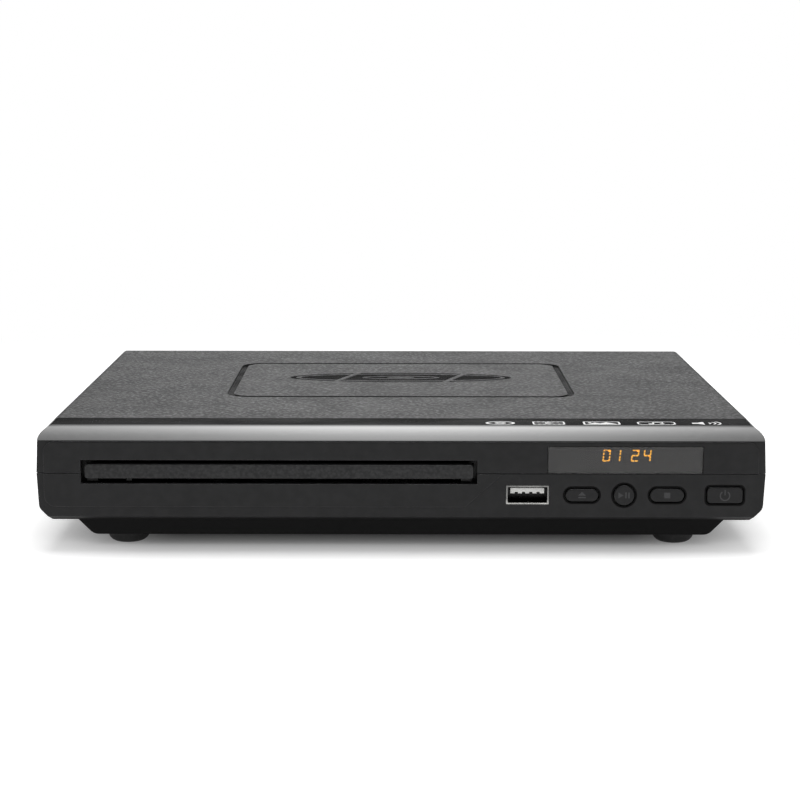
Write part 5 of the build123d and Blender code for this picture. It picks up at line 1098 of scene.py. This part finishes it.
def make_connectors():
    """Ribbon socket, three pin headers and the crystal's can."""
    top = BOARD_TOP
    (left, front), (right, _) = RIBBON_SOCKET
    shapes = [slab([bar(*RIBBON_SOCKET, 0.6)], top + 0.4, top + 2.6, 0.2)]
    for x in (left + 0.8, right - 0.8):
        shapes.append(slab([bar((x - 1.0, front - 0.6), (x + 1.0, front + 4.0), 0.3)], top, top + 1.9, 0.1))
    pins = []
    for header in HEADERS:
        body, header_pins = make_header(*header)
        shapes.append(body)
        pins.append(header_pins)
    piece("board_connectors", merged(shapes), NYLON, "chassis")
    x, y = CRYSTAL
    ends = [ring((side * 3.0, 0), 2.0, 12, 1.0, -90 * side, 180) for side in (1, -1)]
    oval = ends[0] + ends[1]
    can = slab(shifted([oval], x, y), top + 0.4, top + 3.6, 0.4)
    rim = slab([[(x + 1.08 * u, y + 1.12 * v) for u, v in oval]], top, top + 0.5, 0.1)
    piece("crystal_can", merged([can, rim]), TINNED, "chassis")
    piece("header_pins", merged(pins), TINNED, "chassis")


def make_film_capacitor():
    top = BOARD_TOP
    (left, front), (right, back) = FILM_BODY
    box = slab([bar(*FILM_BODY, 0.5)], top + 0.3, top + 10.0, 0.5)
    places = [((left + right) / 2, y) for y in (front + 1.5, back - 1.5)]
    feet = [slab([ring(place, 0.4, 12)], top, top + 0.6, 0.05) for place in places]
    piece("film_capacitor", merged([box] + feet), FILM_BOX, "chassis")


def make_rectifiers():
    """Three lying rectifiers on bent wires."""
    body = [(0, -2.7), (1.1, -2.7), (1.35, -2.4), (1.35, 2.4), (1.1, 2.7), (0, 2.7)]
    wire = [(0, -3.6), (0.35, -3.6), (0.35, 3.6), (0, 3.6)]
    stub = [(0, 0), (0.35, 0), (0.35, 1.95), (0.2, 2.05), (0, 2.05)]
    lying = [at(RECTIFIER_X, y, BOARD_TOP + 1.7) @ Matrix.Rotation(math.pi / 2, 4, "Y") for y in RECTIFIER_Y]
    standing = [at(RECTIFIER_X + side, y, BOARD_TOP) for side in (-3.4, 3.4) for y in RECTIFIER_Y]
    piece("rectifiers", scattered(turned(body), lying), EPOXY, "chassis")
    legs = [scattered(turned(wire, 12), lying), scattered(turned(stub, 12), standing)]
    piece("rectifier_legs", merged(legs), TINNED, "chassis")


def make_choke():
    """A ferrite drum and its copper winding."""
    drum = [
        (0, 0), (3.9, 0), (4.0, 0.2), (4.0, 1.1), (2.6, 1.3),
        (2.6, 6.2), (4.0, 6.4), (4.0, 7.3), (3.8, 7.5), (0, 7.5),
    ]
    coil = [(2.5, 1.3)]
    for index in range(12):
        low = 1.35 + index * 0.4
        coil += [(3.25, low), (3.45, low + 0.2), (3.25, low + 0.4)]
    coil.append((2.5, 6.2))
    for name, profile, look, slot in (
        ("choke_core", drum, FERRITE, "black_plastic"),
        ("choke_winding", coil, COPPER, "switch_metal"),
    ):
        mesh = turned(profile, 32)
        mesh.transform(at(*CHOKE, BOARD_TOP))
        piece(name, mesh, look, "chassis")


# ---------------------------------------------------------------- dressing
dress(cover_look(), "top_cover")
dress(tub_look(), "bottom_tub")
dress(satin_look(), "rear_panel", "eject_button", "play_button", "stop_button", "power_button")
dress(door_look(), "tray_door")
dress(gloss_look(), "gloss_strip", "top_motif")
dress(window_look(), "display_window")
dress(rubber_look(), "rubber_feet", "damper_grommets", "drive_belt")
dress(metal_look("screw_black", (0.05, 0.05, 0.052), 0.38), "case_screws")
dress(metal_look("screw_zinc", (0.62, 0.62, 0.6), 0.3), "damper_screws", "board_screws")
dress(metal_look("screw_dark", (0.09, 0.09, 0.09), 0.36), "loader_screws")
dress(metal_look("shell_nickel", (0.78, 0.77, 0.74), 0.24), "hdmi_port")
dress(socket_look(), "usb_shell")
dress(metal_look("steel_sheet", (0.5, 0.5, 0.5), 0.34), "clamp_bridge", "clamper_yoke", "traverse_plate")
dress(metal_look("motor_can", (0.55, 0.55, 0.56), 0.28), "spindle_motor", "loading_motor", "sled_motor")
dress(metal_look("steel_ground", (0.7, 0.7, 0.71), 0.16, along=(12.0, 1.0, 12.0)), "guide_rods")
dress(thread_look(), "lead_screw")
dress(
    moulded_look("plastic_white", (0.74, 0.74, 0.72), 0.4, 0.06),
    "usb_tongue", "clamper_hub", "tact_switches",
)
dress(
    moulded_look("gear_acetal", (0.07, 0.07, 0.068), 0.36, 0.1),
    "drive_gear", "pulley_gear", "motor_pulley",
)
dress(moulded_look("tray_plastic", (0.014, 0.014, 0.0145), 0.42), "disc_tray")
dress(
    moulded_look("frame_plastic", (0.012, 0.012, 0.0125), 0.46),
    "loader_frame", "loader_rail_left", "loader_rail_right", "loader_crossbar", "lift_frame",
)
dress(moulded_look("part_black", (0.012, 0.012, 0.0125), 0.4), "display_module", "board_chips")
dress(inlet_look(), "mains_inlet")
dress(jack_look(), "av_jacks")
dress(transformer_look(), "transformer")
dress(moulded_look("plastic_grey", (0.2, 0.2, 0.21), 0.45), "cam_slider", "turntable", "pickup_sled")
dress(moulded_look("receiver_dark", (0.012, 0.008, 0.012), 0.1), "ir_receiver")
dress(board_look(), "front_board", "main_board", "power_board")
dress(can_look(), "main_capacitors", "power_capacitors")
dress(lens_look(), "pickup_lens")
dress(ribbon_look(), "flat_cable")

# looks of the pieces made here
MASK = ink_look("mask_black", (0.002, 0.002, 0.002), 0.6)
AMBER = lit_look("amber_light", (1.0, 0.5, 0.03), 3.2)
WHITE_INK = ink_look("ink_white", (0.8, 0.8, 0.8))
GREY_INK = ink_look("ink_grey", (0.04, 0.04, 0.042), 0.55)
GOLD = metal_look("contact_gold", (0.8, 0.62, 0.3), 0.24)
TINNED = metal_look("tinned_copper", (0.7, 0.69, 0.67), 0.3)
ANODISED = metal_look("sink_aluminium", (0.3, 0.3, 0.31), 0.4)
COPPER = metal_look("wire_copper", (0.7, 0.28, 0.12), 0.25)
NYLON = moulded_look("nylon_natural", (0.72, 0.7, 0.62), 0.45)
SMD_DARK = moulded_look("smd_black", (0.012, 0.012, 0.013), 0.3)
SMD_TAN = moulded_look("smd_ceramic", (0.32, 0.22, 0.13), 0.4)
FILM_BOX = moulded_look("film_yellow", (0.6, 0.35, 0.05), 0.35)
EPOXY = moulded_look("epoxy_black", (0.012, 0.012, 0.012), 0.35)
FERRITE = moulded_look("ferrite_black", (0.03, 0.029, 0.028), 0.6)
make_display()
make_marks()
make_button_marks()
make_usb_contacts()
make_chip_parts()
make_small_parts()
make_connectors()
make_film_capacitor()
make_rectifiers()
make_choke()

# ---------------------------------------------------------------- studio
bpy.context.scene.view_settings.view_transform = "Standard"
make_camera()
make_world()
make_floor()
make_hood()
for lamp in LAMPS:
    area_light(*lamp)
